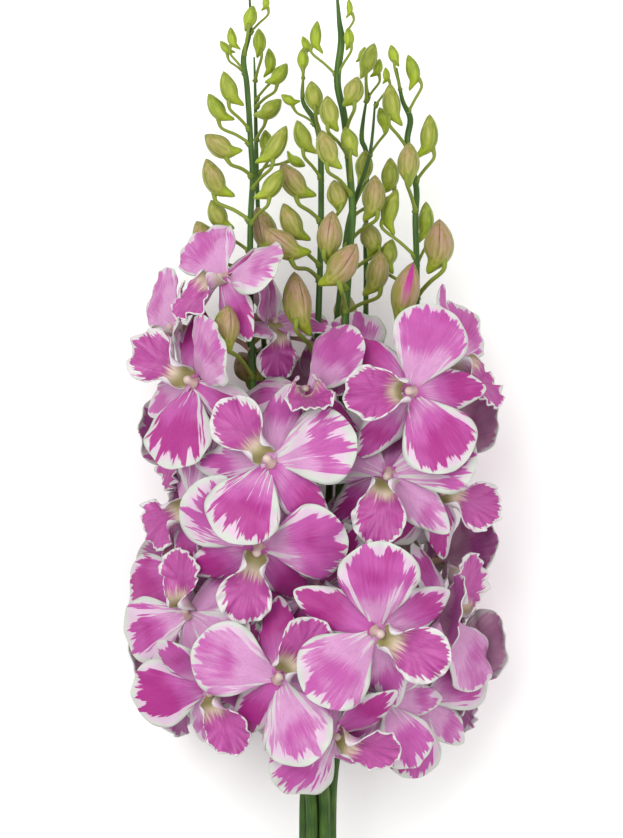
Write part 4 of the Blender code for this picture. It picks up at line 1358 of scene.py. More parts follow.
@dataclass(frozen=True)
class BudFinish(Finish):
    """Skin of a closed bud: smooth and faintly waxy, green while small, tan and pink when large.

    The attribute "leaf" is the place on the bud as if it were straight: mm across both ways, and mm up.
    "share" is the place from chin to tip and "ripe" how near the bud is to opening.
    """

    name: str
    green: str
    lime: str
    tan: str
    blush: str
    tip: str
    seam: str
    petal: str

    # The mark "ripe" passes the first where a seam faces up, and the second where a petal shows.
    ripe_seam: float = 0.9
    open_mark: float = 1.5

    # Streaks are drawn out along the bud, and they mottle its green.
    DRAWN = (1.0, 1.0, 0.12)
    STREAK = (0.3, 0.7)
    MOTTLING = 0.45
    MOTTLE = (0.4, 1.0)
    # Where tan begins: up the bud, with ripeness, and on the side that faces up, and how uneven that is.
    TAN_UP = (0.25, 0.65)
    TAN_RIPE = (0.72, 1.3)
    TAN_LIT = (0.2, 1.3)
    RIPE_CLOUD = 0.5
    LIT_STREAK = 1.2
    # Where the dark tip begins, and how strong it is.
    TIP = (0.8, 1.0)
    TIP_DEPTH = 0.65
    # A seam's width and strength, each as what opening adds and what it is closed, its edge and its start.
    SEAMS = 3
    SEAM = (0.45, 0.1)
    SEAM_DEPTH = (0.35, 0.6)
    SEAM_EDGE = (0.5, 1.0, 1.0, 0.0)
    SEAM_UP = (0.42, 0.7)

    def surface(self, tree: bpy.types.NodeTree) -> dict[str, Any]:
        """Works out what goes into the inputs of the surface.

        Args:
            tree: the tree.

        Returns:
            A socket or a value by the name of each input.
        """
        leaf = add(tree, "Attribute", (), "Vector", attribute_name="leaf")
        along = add(tree, "Attribute", (), "Fac", attribute_name="share")
        ripe = add(tree, "Attribute", (), "Fac", attribute_name="ripe")
        flat = add(tree, "SeparateXYZ", (leaf,)).node.outputs
        turn = add(tree, "Math", (flat[1], flat[0]), operation="ARCTAN2")
        drawn = add(tree, "Mapping", {"Vector": leaf, "Scale": self.DRAWN})
        streak = add(tree, "TexNoise", {"Vector": drawn, "Scale": 0.8, "Detail": 3.0})
        streak = add(tree, "MapRange", (streak, *self.STREAK), **SMOOTH)
        cloud = add(tree, "TexNoise", {"Vector": leaf, "Scale": 0.14, "Detail": 2.0})
        mottled = add(tree, "Math", (streak, self.MOTTLING, cloud), operation="MULTIPLY_ADD")
        mottled = add(tree, "MapRange", (mottled, *self.MOTTLE))
        young = add(tree, "Mix", {0: mottled, 6: self.green, 7: self.lime}, 2, data_type="RGBA")
        old = add(tree, "Mix", {0: streak, 6: self.tan, 7: self.blush}, 2, data_type="RGBA")
        # Tan comes with ripeness, on the side that faces up and away from the chin.
        mask = add(tree, "MapRange", (along, *self.TAN_UP), **SMOOTH)
        turned = add(tree, "Math", (cloud, self.RIPE_CLOUD, ripe), operation="MULTIPLY_ADD")
        lit = add(tree, "Math", (turn,), operation="COSINE")
        lit = add(tree, "Math", (streak, self.LIT_STREAK, lit), operation="MULTIPLY_ADD")
        for part, band in ((turned, self.TAN_RIPE), (lit, self.TAN_LIT)):
            part = add(tree, "MapRange", (part, *band), **SMOOTH)
            mask = add(tree, "Math", (mask, part), operation="MULTIPLY")
        colour = add(tree, "Mix", {0: mask, 6: young, 7: old}, 2, data_type="RGBA")
        tip = add(tree, "MapRange", (along, *self.TIP), **SMOOTH)
        tip = add(tree, "Math", (tip, self.TIP_DEPTH), operation="MULTIPLY")
        colour = add(tree, "Mix", {0: tip, 6: colour, 7: self.tip}, 2, data_type="RGBA")
        opening = add(tree, "Math", (ripe, self.open_mark), operation="GREATER_THAN")
        seam = self.seams(tree, along, ripe, turn, opening)
        inside = add(tree, "Mix", {0: opening, 6: self.seam, 7: self.petal}, 2, data_type="RGBA")
        soft = add(tree, "Math", (opening, *self.SEAM_DEPTH), operation="MULTIPLY_ADD")
        soft = add(tree, "Math", (seam, soft), operation="MULTIPLY")
        height = add(tree, "Math", (streak, seam), operation="SUBTRACT")
        return {
            "Base Color": add(tree, "Mix", {0: soft, 6: colour, 7: inside}, 2, data_type="RGBA"),
            "Normal": add(tree, "Bump", {"Height": height, "Strength": 0.5, "Distance": 0.3 * MM}),
            "Roughness": 0.45,
            "Specular IOR Level": 0.3,
            "Subsurface Weight": 0.1,
            "Subsurface Radius": (0.8, 1.0, 0.4),
            "Subsurface Scale": 2.0 * MM,
        }

    def seams(self, tree: bpy.types.NodeTree, along: Any, ripe: Any, turn: Any, opening: Any) -> Any:
        """Draws three seams down from the tip. One faces up on a ripe bud, and it widens as the bud opens.

        Args:
            tree: the tree.
            along: the place from chin to tip.
            ripe: how near the bud is to opening.
            turn: the angle round the bud.
            opening: 1 where a petal shows.

        Returns:
            The socket with 1 in a seam and 0 beside it.
        """
        young = add(tree, "Math", (ripe, self.ripe_seam), operation="LESS_THAN")
        wave = add(tree, "Math", (young, math.pi / self.SEAMS, turn), operation="MULTIPLY_ADD")
        wave = add(tree, "Math", (wave, self.SEAMS / 2), operation="MULTIPLY")
        wave = add(tree, "Math", (wave,), operation="SINE")
        wave = add(tree, "Math", (wave,), operation="ABSOLUTE")
        room = add(tree, "Math", (opening, *self.SEAM), operation="MULTIPLY_ADD")
        line = add(tree, "Math", (wave, room), operation="DIVIDE")
        line = add(tree, "MapRange", (line, *self.SEAM_EDGE), **SMOOTH)
        reach = add(tree, "MapRange", (along, *self.SEAM_UP), **SMOOTH)
        return add(tree, "Math", (line, reach), operation="MULTIPLY")


@dataclass(frozen=True)
class StemFinish(Finish):
    """Skin of a green flower stem: smooth with fine lines along it, paler on thin stalks.

    The attribute "ripe" is 0 on a stem, 0.25 on a bract, 0.5 on a bud's stalk and 1 on a bloom's.
    """

    name: str
    green: str
    dark: str
    bud_stalk: str
    bloom_stalk: str
    pith: str
    scar: str

    # Half the way in mm from one leaf scar to the next, and how far up the bare stalk they go. The cut end
    # is the first row of the mesh.
    half_pitch: float = 46.0
    scar_reach: float = 150.0
    cut_share: float = 0.009

    # Lines are drawn out along the stem. Then come bands of tone, of mm from a scar, and of the stalks' mark.
    DRAWN = (1.0, 1.0, 0.05)
    TONE = (0.12, 0.36)
    SCAR = (0.8, 1.6, 1.0, 0.0)
    TO_BUD_STALK = (0.0, 0.5)
    TO_BLOOM_STALK = (0.5, 1.0)
    # How uneven a scar is, and where the pith of the cut face begins to end, as a share of it.
    SCAR_STREAK = 0.8
    CUT_EDGE = 0.7

    def surface(self, tree: bpy.types.NodeTree) -> dict[str, Any]:
        """Works out what goes into the inputs of the surface.

        Args:
            tree: the tree.

        Returns:
            A socket or a value by the name of each input.
        """
        leaf = add(tree, "Attribute", (), "Vector", attribute_name="leaf")
        ripe = add(tree, "Attribute", (), "Fac", attribute_name="ripe")
        place = add(tree, "Attribute", (), "Fac", attribute_name="share")
        drawn = add(tree, "Mapping", {"Vector": leaf, "Scale": self.DRAWN})
        streak = add(tree, "TexNoise", {"Vector": drawn, "Scale": 1.4, "Detail": 3.0})
        cloud = add(tree, "TexNoise", {"Vector": leaf, "Scale": 0.05, "Detail": 3.0})
        tone = add(tree, "Math", (streak, cloud), operation="MULTIPLY")
        tone = add(tree, "MapRange", (tone, *self.TONE))
        colour = add(tree, "Mix", {0: tone, 6: self.dark, 7: self.green}, 2, data_type="RGBA")
        gone = add(tree, "SeparateXYZ", (leaf,), 2)
        ring = add(tree, "Math", (gone, self.half_pitch), operation="PINGPONG")
        ring = add(tree, "Math", (streak, self.SCAR_STREAK, ring), operation="MULTIPLY_ADD")
        ring = add(tree, "MapRange", (ring, *self.SCAR), **SMOOTH)
        low = add(tree, "Math", (gone, self.scar_reach), operation="LESS_THAN")
        ring = add(tree, "Math", (ring, low), operation="MULTIPLY")
        cut = add(tree, "MapRange", (place, self.CUT_EDGE * self.cut_share, self.cut_share, 1.0, 0.0))
        first = add(tree, "MapRange", (ripe, *self.TO_BUD_STALK))
        second = add(tree, "MapRange", (ripe, *self.TO_BLOOM_STALK))
        layers = ((ring, self.scar), (cut, self.pith), (first, self.bud_stalk), (second, self.bloom_stalk))
        for mask, over in layers:
            colour = add(tree, "Mix", {0: mask, 6: colour, 7: over}, 2, data_type="RGBA")
        return {
            "Base Color": colour,
            "Normal": add(tree, "Bump", {"Height": streak, "Strength": 0.5, "Distance": 0.2 * MM}),
            "Roughness": 0.55,
            "Specular IOR Level": 0.2,
        }


@dataclass(frozen=True)
class RubberFinish(Finish):
    """Natural rubber band: soft, matt and slightly uneven, with marks of its moulding about 1 mm apart."""

    name: str
    body: str
    worn: str

    def surface(self, tree: bpy.types.NodeTree) -> dict[str, Any]:
        """Works out what goes into the inputs of the surface.

        Args:
            tree: the tree.

        Returns:
            A socket or a value by the name of each input.
        """
        place = add(tree, "TexCoord", (), "Object")
        grain = add(tree, "TexNoise", {"Vector": place, "Scale": 1000.0, "Detail": 3.0})
        cloud = add(tree, "TexNoise", {"Vector": place, "Scale": 120.0, "Detail": 2.0})
        return {
            "Base Color": add(tree, "Mix", {0: cloud, 6: self.body, 7: self.worn}, 2, data_type="RGBA"),
            "Normal": add(tree, "Bump", {"Height": grain, "Strength": 0.3, "Distance": 0.1 * MM}),
            "Roughness": 0.7,
        }


@dataclass(frozen=True)
class PaperFinish(Finish):
    """Plain white paper under the bunch."""

    name: str
    body: str

    def surface(self, tree: bpy.types.NodeTree) -> dict[str, Any]:
        """Gives the paper its one colour. The tree is left as it is."""
        return {"Base Color": self.body, "Roughness": 0.9, "Specular IOR Level": 0.1}


# Fine shapes.


class Kind(Enum):
    """The kinds of limb of a bloom."""

    SEPAL = "sepal"
    PETAL = "petal"
    LIP = "lip"


def kind_of(limb: Limb) -> Kind:
    """The kind of a limb, by its name."""
    return Kind.LIP if limb.name == "lip" else Kind.PETAL if limb.name.startswith("petal") else Kind.SEPAL


@dataclass(frozen=True)
class Blade:
    """How a kind of limb is made fine: its grid, the waves of its edge, its dents, midrib and white rim."""

    columns: int
    rows: int
    edge_wave: float
    waves: float
    crumple: float
    groove: float
    rim: float


BLADES = {
    Kind.PETAL: Blade(22, 28, 1.8 * MM, 2.2, 1.5 * MM, 0.7 * MM, 4.4 * MM),
    Kind.SEPAL: Blade(12, 24, 1.1 * MM, 1.7, 0.9 * MM, 0.7 * MM, 1.9 * MM),
    Kind.LIP: Blade(28, 36, 2.6 * MM, 4.2, 0.5 * MM, -0.6 * MM, 1.9 * MM),
}

# Limbs start inside the hub, where the column covers their ends, and their rows crowd towards the tip.
ROOT_SHARE = -0.09
TIP_CROWDING = 1.6
BLADE_FINE = 0.55 * MM
# How far in from the edge its waves reach, how far up they start and how fast, and what they run round.
WAVE_REACH = 5 * MM
WAVE_START = 0.15
WAVE_RISE = 3
WAVE_MIDDLE = 0.45
# How far apart in the noise the waves and the dents of any two limbs are.
WAVES_APART = 9
DENTS_APART = 50
# Widths of the dents of a blade and of its midrib.
DENT = 9 * MM
MIDRIB = 1.4 * MM
# Points nearer than this are one.
SAME_POINT = 0.002 * MM

# Middle lines of the column and of the chin behind it, in mm on a bloom of size 1, with shares of the radius.
COLUMN = (
    ((0, 0.8, -0.8), 0.0),
    ((0, 0.7, 0.2), 1.7),
    ((0, 0.3, 1.2), 1.35),
    ((0, -0.5, 2.1), 1.1),
    ((0, -1.5, 2.7), 1.3),
    ((0, -2.5, 2.6), 1.0),
    ((0, -3.0, 2.2), 0.0),
)
CHIN = (
    ((0, 0, 0.3), 0.0),
    ((0, 0, 0), 1.0),
    ((0, -0.2, -1.2), 0.85),
    ((0, -0.5, -2.3), 0.5),
    ((0, -0.8, -3.0), 0.0),
)

# Rows of a fine bud, chin to tip: place along it, bow to its underside, and half width over width.
FINE_BUD = (
    (0.0, -0.07, 0.0),
    (0.03, -0.055, 0.085),
    (0.08, -0.03, 0.15),
    (0.16, 0.02, 0.22),
    (0.25, 0.075, 0.33),
    (0.34, 0.1, 0.44),
    (0.46, 0.1, 0.52),
    (0.6, 0.075, 0.53),
    (0.75, 0.045, 0.43),
    (0.87, 0.01, 0.28),
    (0.95, -0.01, 0.14),
    (1.0, -0.02, 0.0),
)

# Buds whose petals begin to show, by the pixels of their tips.
OPENING = ((412, 264), (256, 313))
OPEN_RIPE = 2.0

# A bract from under the foot of a stalk to its point: mm down the stem, mm out along the stalk, and girth.
BRACT = ((1.6, 0.0, 0.0), (0.6, 0.8, 2.0), (0.9, 2.2, 1.2), (1.5, 3.6, 0.0))


def flat_place(limb: Limb, along: float, aside: float) -> tuple[float, float]:
    """Metres across and up the flat pattern, for a point of a limb."""
    return aside * half_width(limb, along) * lip_fold(limb, along)[0], along * limb.length


class Outline:
    """The outline of a limb's flat pattern, to measure distances from its edge."""

    STEPS = 90

    def __init__(self, limb: Limb) -> None:
        """Walks up one side of the limb to its tip."""
        shares = [1 - (1 - step / self.STEPS) ** TIP_CROWDING for step in range(self.STEPS + 1)]
        self.points = np.array([flat_place(limb, share, 1.0) for share in shares])

    def distance(self, across: float, up: float) -> float:
        """Distance of a place on the flat pattern from the edge."""
        return float(np.min(np.hypot(self.points[:, 0] - abs(across), self.points[:, 1] - up)))


OUTLINES = {limb.name: Outline(limb) for limb in LIMBS}


def new_edit() -> bmesh.types.BMesh:
    """Starts a mesh with the marks that the finishes read."""
    edit = bmesh.new()
    edit.verts.layers.float_vector.new("leaf")
    edit.verts.layers.float.new("share")
    edit.verts.layers.float.new("ripe")
    return edit


def roll(
    edit: bmesh.types.BMesh,
    line: list[Vector],
    radii: list[float],
    sides: int,
    ripe: float = 0.0,
    lobes: float = 0.0,
    side_way: Vector = Vector((0.0, 0.0, 1.0)),
) -> None:
    """Rolls a grid into a closed tube round a line.

    Args:
        edit: the mesh it is added to.
        line: the line.
        radii: radius at each point, with 0 at both ends.
        sides: number of sides.
        ripe: the mark "ripe" of all its points.
        lobes: how far three soft lobes stand out, as a share of the radius.
        side_way: where the first side faces.
    """
    marks = edit.verts.layers
    frames, gone = [], [0.0]
    for index, point in enumerate(line):
        way = (line[min(index + 1, len(line) - 1)] - line[max(index - 1, 0)]).normalized()
        side_way = side_way - side_way.dot(way) * way
        if side_way.length < 0.1:
            side_way = way.orthogonal()
        side_way.normalize()
        frames.append((side_way.copy(), way.cross(side_way)))
        if index:
            gone.append(gone[-1] + (point - line[index - 1]).length)
    steps = len(line) - 1
    made = bmesh.ops.create_grid(edit, x_segments=sides, y_segments=steps, size=1)
    for vert in made["verts"]:
        step = round((vert.co.y + 1) / 2 * steps)
        angle = round((vert.co.x + 1) / 2 * sides) % sides * math.tau / sides
        radius = radii[step] * (1 + lobes * math.cos(3 * angle))
        one, other = frames[step]
        vert.co = line[step] + radius * (math.cos(angle) * one + math.sin(angle) * other)
        flat = Vector((math.cos(angle) * radius, math.sin(angle) * radius, gone[step]))
        vert[marks.float_vector["leaf"]] = flat / MM
        vert[marks.float["share"]] = step / steps
        vert[marks.float["ripe"]] = ripe
    bmesh.ops.remove_doubles(edit, verts=made["verts"], dist=SAME_POINT)


def closed(line: list[Vector], radii: list[float]) -> tuple[list[Vector], list[float]]:
    """Closes a tube with a faint dome at each end.

    Args:
        line: the line.
        radii: radius at each point.

    Returns:
        The line and the radii with a point more at each end.
    """
    dome = 0.15
    start = line[0] + (line[0] - line[1]).normalized() * dome * radii[0]
    end = line[-1] + (line[-1] - line[-2]).normalized() * dome * radii[-1]
    return [start, *line, end], [0.0, *radii, 0.0]


class Bunch:
    """What all pieces of the bunch share: its layout, the shift to the origin, and the finishes."""

    def __init__(self, layout: Layout, finishes: dict[str, bpy.types.Material]) -> None:
        """Finds the shift from the layout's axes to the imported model's, by the box of the tie."""
        self.layout = layout
        self.finishes = finishes
        low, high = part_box("tie_band")
        self.shift = (low + high) / 2 - Vector((0, TIE_PLACE, stalk_height(TIE_PLACE)))

    def finish(
        self,
        edit: bmesh.types.BMesh,
        name: str,
        nodes: list[str],
        slot: str,
        finishes: list[str],
        wall: float = 0.0,
    ) -> None:
        """Makes an object of a mesh, in its place and on the body.

        Args:
            edit: the mesh, in the layout's axes.
            name: its name.
            nodes: the solids that it stands for.
            slot: not used.
            finishes: names of its finishes, with the back of a blade second.
            wall: thickness of a sheet, or 0 for a closed body.
        """
        bmesh.ops.translate(edit, verts=edit.verts, vec=self.shift)
        if not wall:
            bmesh.ops.recalc_face_normals(edit, faces=edit.faces)
        for face in edit.faces:
            face.smooth = True
        mesh = bpy.data.meshes.new(name)
        edit.to_mesh(mesh)
        edit.free()
        for finish in finishes:
            mesh.materials.append(self.finishes[finish])
        made = bpy.data.objects.new(name, mesh)
        bpy.context.scene.collection.objects.link(made)
        if wall:
            shell = made.modifiers.new("wall", "SOLIDIFY")
            shell.thickness = wall
            shell.offset = 0.0
            shell.use_rim = True
            shell.material_offset = 1
            shell.material_offset_rim = 0
        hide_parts(*nodes)
        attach(made, "root")
        log.info("%s: %d faces", name, len(mesh.polygons))


@dataclass
class FineBloom:
    """One open bloom: its sepals and petals, its lip, and its column with the chin behind it."""

    bunch: Bunch
    placed: Placed
    column_radius: float = 1.6 * MM
    throat_radius: float = 5.2 * MM
    # The side lobes of the lip: what they add to its width, and their place and length along it.
    side_lobes: float = 0.45
    lobe_place: float = 0.16
    lobe_length: float = 0.2
    chin_radius: float = 3.4 * MM
    column_sides: int = 14

    def add_blade(self, edit: bmesh.types.BMesh, limb: Limb, bend: float) -> None:
        """Adds one fine limb.

        Args:
            edit: the mesh it is added to.
            limb: the limb.
            bend: degrees that it is bent forward.
        """
        plan, bloom = BLADES[kind_of(limb)], self.placed.bloom
        luck = random.Random(f"{bloom.name} {limb.name}")
        phase, own, rim = luck.uniform(0, math.tau), luck.random(), plan.rim * luck.uniform(0.45, 1.6)
        leaf, share = edit.verts.layers.float_vector["leaf"], edit.verts.layers.float["share"]
        made = bmesh.ops.create_grid(edit, x_segments=plan.columns, y_segments=plan.rows, size=1)
        for vert in made["verts"]:
            aside = -vert.co.x
            risen = 1 - (1 - (vert.co.y + 1) / 2) ** TIP_CROWDING
            along = ROOT_SHARE + (1 - ROOT_SHARE) * risen
            across, up = flat_place(limb, along, aside)
            edge = OUTLINES[limb.name].distance(across, up)
            near = math.exp(-edge / WAVE_REACH) * min(1.0, max(0.0, along - WAVE_START) * WAVE_RISE)
            turn = math.atan2(across, up - WAVE_MIDDLE * limb.length)
            ring = Vector((math.sin(turn), math.cos(turn), 0)) * plan.waves
            proud = plan.edge_wave * near * noise.noise(ring + Vector((0, 0, phase * WAVES_APART))) * 2
            proud += plan.crumple * noise.noise(Vector((across / DENT, up / DENT, own * DENTS_APART)))
            fading = max(0.0, 1 - along) * min(1.0, along * 6 + 0.5)
            proud -= plan.groove * math.exp(-((across / MIDRIB) ** 2)) * fading
            if kind_of(limb) is Kind.LIP:
                aside, rolled = self.throat(across, along, aside)
                proud += rolled
            vert.co = limb_point(limb, bend, along, aside, bloom.scale, proud)
            vert[leaf] = Vector((across / MM, up / MM, edge / rim))
            vert[share] = own
        for vert, place in zip(made["verts"], self.to_place([vert.co for vert in made["verts"]])):
            vert.co = place
        bmesh.ops.remove_doubles(edit, verts=made["verts"], dist=SAME_POINT)

    def throat(self, across: float, along: float, aside: float) -> tuple[float, float]:
        """Rolls the sides of the lip up round the column, where its side lobes are.

        Args:
            across: metres across on the flat pattern.
            along: 0 at the hub to 1 at the tip.
            aside: -1 to 1 across.

        Returns:
            The new place across, -1 to 1, and the rise.
        """
        if abs(across) < 0.001 * MM:
            return aside, 0.0
        rolled = math.exp(-(((along - self.lobe_place) / self.lobe_length) ** 2))
        turned = across * (1 + self.side_lobes * rolled) / self.throat_radius
        nearer = self.throat_radius * math.sin(turned) / across
        risen = self.throat_radius * (1 - math.cos(turned))
        return aside * (1 + rolled * (nearer - 1)), rolled * risen

    def to_place(self, points: list[Vector]) -> list[Vector]:
        """Moves points from the bloom's own axes to the bunch, none of them under the surface."""
        return to_bunch(self.placed.turn, self.placed.middle, points, True)

    def build(self) -> None:
        """Makes the three pieces of the bloom."""
        name, scale = self.placed.bloom.name, self.placed.bloom.scale
        petals, lip, column = new_edit(), new_edit(), new_edit()
        for limb, bend in zip(LIMBS, self.placed.bends):
            self.add_blade(lip if kind_of(limb) is Kind.LIP else petals, limb, bend)
        for rows, radius in ((COLUMN, self.column_radius), (CHIN, self.chin_radius)):
            line = smooth_line([Vector(place) * MM * scale for place, _ in rows], 3)
            girths = smooth_line([girth for _, girth in rows], 3)
            radii = [max(0.0, girth) * radius * scale for girth in girths]
            roll(column, self.to_place(line), radii, self.column_sides)
        self.bunch.finish(petals, name + "_petals", [name], "petal", ["petal", "petal_back"], BLADE_FINE)
        self.bunch.finish(lip, name + "_lip", [name], "petal", ["lip", "lip_back"], BLADE_FINE)
        self.bunch.finish(column, name + "_column", [name], "petal", ["column"])


@dataclass
class FineSpray:
    """One flower stem: its stalk with the thin stalks that grow from it, and its buds."""

    bunch: Bunch
    stem: Stem
    stem_sides: int = 14
    stalk_sides: int = 8
    bud_sides: int = 18
    bud_lobes: float = 0.05
    ripe_width: float = 26.0
    # How much a stalk widens over its first and its last share, and where the last one begins.
    top_flare: float = 0.7
    top_share: float = 0.35
    foot_flare: float = 0.9
    foot_share: float = 0.18
    foot_start: float = 0.82
    seat_depth: float = 1.5 * MM
    # Values of the mark "ripe" on the stalks of blooms and buds, and on bracts.
    bloom_mark: float = 1.0
    bud_mark: float = 0.5
    bract_mark: float = 0.25

    def build(self) -> None:
        """Makes the two pieces of the spray."""
        layout, name = self.bunch.layout, self.stem.name
        stems, buds = new_edit(), new_edit()
        line = smooth_line(layout.lines[name], 5)
        roll(stems, *closed(line, smooth_line(layout.radii[name], 5)), self.stem_sides)
        for owner, placed, stalk in layout.stalks:
            if owner == name:
                seat = stalk[0] + placed.turn @ Vector((0, 0, 1)) * self.seat_depth
                self.add_stalk(stems, [seat] + smooth_line(stalk, 4), PEDICEL_RADIUS, self.bloom_mark)
        for bud, body, stalk, thin in layout.buds:
            if bud.stem == name:
                self.add_stalk(stems, smooth_line(stalk, 4), thin, self.bud_mark)
                self.add_bract(stems, stalk, thin)
                self.add_bud(buds, bud, body)
        # A round cut end would dip under the surface, so it lies flat on it.
        for vert in stems.verts:
            vert.co.z = max(vert.co.z, 0.0)
        nodes = ["stem_" + name]
        self.bunch.finish(stems, f"spray_{name}_stem", nodes, "stem", ["stem"])
        self.bunch.finish(buds, f"spray_{name}_buds", nodes, "stem", ["bud"])

    def add_stalk(self, edit: bmesh.types.BMesh, line: list[Vector], radius: float, ripe: float) -> None:
        """Adds a thin stalk, wider at its flower and at its foot on the stem.

        Args:
            edit: the mesh it is added to.
            line: its line, flower to stem.
            radius: its radius.
            ripe: the mark "ripe" of its points.
        """
        radii = []
        for step in range(len(line)):
            share = step / (len(line) - 1)
            top = self.top_flare * max(0.0, 1 - share / self.top_share) ** 1.5
            foot = self.foot_flare * max(0.0, (share - self.foot_start) / self.foot_share) ** 2
            radii.append((1.0 + top + foot) * radius)
        roll(edit, *closed(line, radii), self.stalk_sides, ripe)

    def add_bract(self, edit: bmesh.types.BMesh, stalk: list[Vector], thin: float) -> None:
        """Adds the small pointed bract under the foot of a bud's stalk.

        Args:
            edit: the mesh it is added to.
            stalk: the line of the stalk, bud to stem.
            thin: its radius.
        """
        foot = stalk[-1]
        out = (stalk[-2] - foot).normalized()
        line = [foot + Vector((0, -1, 0)) * down * MM + out * gone * MM for down, gone, _ in BRACT]
        roll(edit, line, [girth * thin for _, _, girth in BRACT], self.stalk_sides, self.bract_mark)

    def add_bud(self, edit: bmesh.types.BMesh, bud: Bud, body: list[Vector]) -> None:
        """Adds one fine bud, with its chin drawn out and hooked and its tip pointed.

        Args:
            edit: the mesh it is added to.
            bud: the bud.
            body: its middle line in the solid.
        """
        chin, tip = body[0], body[-1]
        under = body[2] - chin.lerp(tip, BUD_ROWS[2])
        under = under.normalized() * (tip - chin).length
        rows = smooth_line([Vector(row) for row in FINE_BUD], 2)
        line = [chin.lerp(tip, along) + under * bow for along, bow, _ in rows]
        girths = [max(0.0, girth) * bud.width * PIXEL for _, _, girth in rows]
        girths[0] = girths[-1] = 0.0
        opens = (bud.tip_across, bud.tip_down) in OPENING
        ripe = OPEN_RIPE if opens else min(1.0, bud.width / self.ripe_width)
        luck = random.Random(f"{bud.stem} {bud.tip_across}")
        side_way = Vector((luck.uniform(-0.4, 0.4), 0, 1))
        roll(edit, line, girths, self.bud_sides, ripe, self.bud_lobes, side_way)


@dataclass
class FineTie:
    """The rubber band round the stalks, wound three times."""

    bunch: Bunch
    turns: int = 3
    steps: int = 6
    groove: float = 0.35 * MM
    around: int = 48

    def build(self) -> None:
        """Makes the band by spinning its section round the bundle."""
        edit = new_edit()
        inner = STALK_PITCH + STALK_RADIUS + SEAT_GAP
        middle = Vector((0, TIE_PLACE, stalk_height(TIE_PLACE)))
        slope = (stalk_height(TIE_PLACE + 0.01) - stalk_height(TIE_PLACE)) / 0.01
        way = Vector((0, 1, slope)).normalized()
        up = Vector((1, 0, 0)).cross(way)
        section = []
        steps = self.steps * self.turns
        for step in range(steps + 1):
            share = step / steps
            dip = self.groove * (1 - abs(math.sin(math.pi * self.turns * share)) ** 0.5)
            section.append(middle + up * (inner + TIE_WALL - dip) + way * (share - 0.5) * TIE_WIDTH)
        section += [middle + up * inner + way * end * TIE_WIDTH for end in (0.5, -0.5)]
        ring = [edit.verts.new(point) for point in section]
        edges = [edit.edges.new((one, ring[(index + 1) % len(ring)])) for index, one in enumerate(ring)]
        bmesh.ops.spin(
            edit,
            geom=ring + edges,
            cent=middle,
            axis=way,
            dvec=(0, 0, 0),
            angle=math.tau,
            steps=self.around,
            use_merge=True,
        )
        self.bunch.finish(edit, "tie_band_wound", ["tie_band"], "tie", ["tie"])


@dataclass(frozen=True)
class Lamp:
    """A square soft light: its name, where it stands from what it points at, its side, and its watts."""

    name: str
    place: tuple[float, float, float]
    size: float
    power: float

    def build(self, aim: Vector) -> None:
        """Adds the light.

        Args:
            aim: what it points at.
        """
        data = bpy.data.lights.new(self.name, "AREA")
        data.size = self.size
        data.energy = self.power
        lamp = bpy.data.objects.new(self.name, data)
        lamp.location = aim + Vector(self.place)
        lamp.rotation_mode = "QUATERNION"
        lamp.rotation_quaternion = (-Vector(self.place)).to_track_quat("-Z", "Y")
        bpy.context.scene.collection.objects.link(lamp)


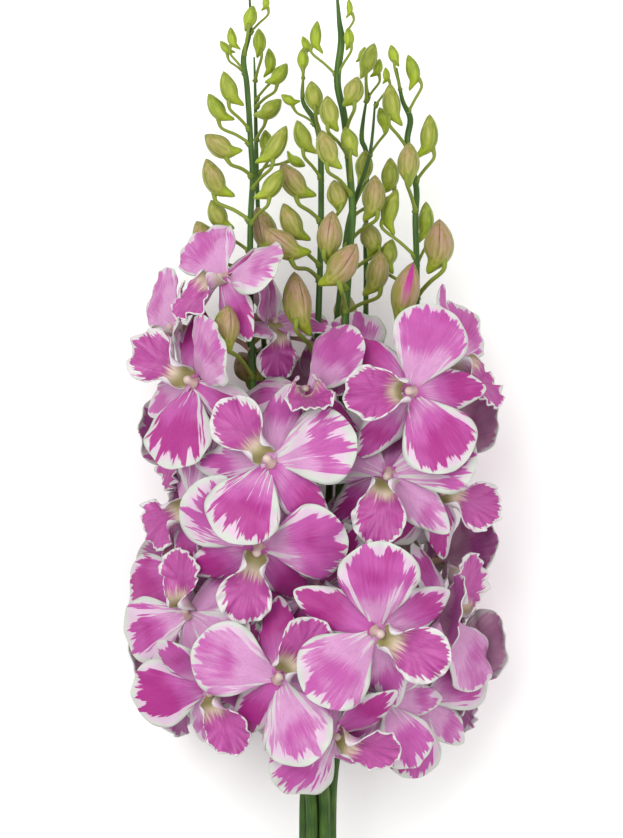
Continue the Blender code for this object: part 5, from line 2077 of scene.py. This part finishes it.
@dataclass
class Studio:
    """A plain pale floor, soft lights and the camera that looks straight down."""

    bunch: Bunch
    key: Lamp = Lamp("key", (-0.6, 0.5, 1.5), 1.2, 20)
    fill: Lamp = Lamp("fill", (0.8, -0.2, 1.4), 1.4, 10)
    sky: float = 0.85
    floor_reach: float = 3.0
    floor_drop: float = 0.2 * MM
    frame_width: float = 623 * PIXEL
    centre_across: float = 311.5
    centre_down: float = 419.0
    distance: float = 2.2
    sensor: float = 36.0

    def build(self) -> None:
        """Makes floor, lights and camera."""
        scene = bpy.context.scene
        edit = bmesh.new()
        bmesh.ops.create_grid(edit, x_segments=1, y_segments=1, size=self.floor_reach)
        mesh = bpy.data.meshes.new("floor")
        edit.to_mesh(mesh)
        edit.free()
        mesh.materials.append(self.bunch.finishes["floor"])
        floor = bpy.data.objects.new("floor", mesh)
        floor.location.z = -self.floor_drop
        scene.collection.objects.link(floor)
        aim = at_photo(self.centre_across, self.centre_down, AXIS_HEIGHT) + self.bunch.shift
        for lamp in (self.key, self.fill):
            lamp.build(aim)
        world = bpy.data.worlds.new("studio")
        world.use_nodes = True
        world.node_tree.nodes["Background"].inputs["Color"].default_value = (1, 1, 1, 1)
        world.node_tree.nodes["Background"].inputs["Strength"].default_value = self.sky
        scene.world = world
        scene.view_settings.view_transform = "Standard"
        lens = bpy.data.cameras.new("camera")
        lens.sensor_fit = "HORIZONTAL"
        lens.sensor_width = self.sensor
        lens.lens = self.sensor * self.distance / self.frame_width
        lens.clip_end = 20.0
        camera = bpy.data.objects.new("camera", lens)
        camera.location = aim + Vector((0, 0, self.distance))
        scene.collection.objects.link(camera)
        scene.camera = camera


FINISHES = {
    "petal": PetalFinish(
        "petal_face", "#961C74", "#A84892", "#BC86B0", "#92347C", "#B6BBB2", "#C2A8BC", 0.85, 1.1, 0.35
    ),
    "petal_back": PetalFinish(
        "petal_back", "#9C4888", "#B07A9E", "#C0A0B0", "#94508A", "#BAB8B6", "#BEAAB4", 0.4, 0.6, 0.2
    ),
    "lip": LipFinish("lip_face", "#928A58", "#C6B6A0", "#B4509A", "#8E2674", "#C2C0BE", 0.5),
    "lip_back": LipFinish("lip_back", "#A89C86", "#BCA4B0", "#B070A0", "#9A4A8A", "#BEB8BC", 0.25),
    "column": ColumnFinish("column_wax", "#A88A84", "#CDBCB4"),
    "bud": BudFinish("bud_skin", "#687C1C", "#96A628", "#86703E", "#A0806E", "#62602A", "#46282A", "#A0207C"),
    "stem": StemFinish("stem_skin", "#4C6828", "#24401A", "#74822E", "#9C7E6C", "#B8BC86", "#5A5A34"),
    "tie": RubberFinish("tie_rubber", "#8A9A5A", "#6E7E44"),
    "floor": PaperFinish("white_paper", "#F6F6F4"),
}


def main() -> None:
    """Builds the looks of the bunch."""
    logging.basicConfig(level=logging.INFO, format="%(message)s")
    layout = Layout()
    layout.run()
    bunch = Bunch(layout, {name: finish.build() for name, finish in FINISHES.items()})
    for placed in layout.blooms:
        FineBloom(bunch, placed).build()
    for stem in STEMS:
        FineSpray(bunch, stem).build()
    FineTie(bunch).build()
    Studio(bunch).build()


if __name__ == "__main__":
    main()
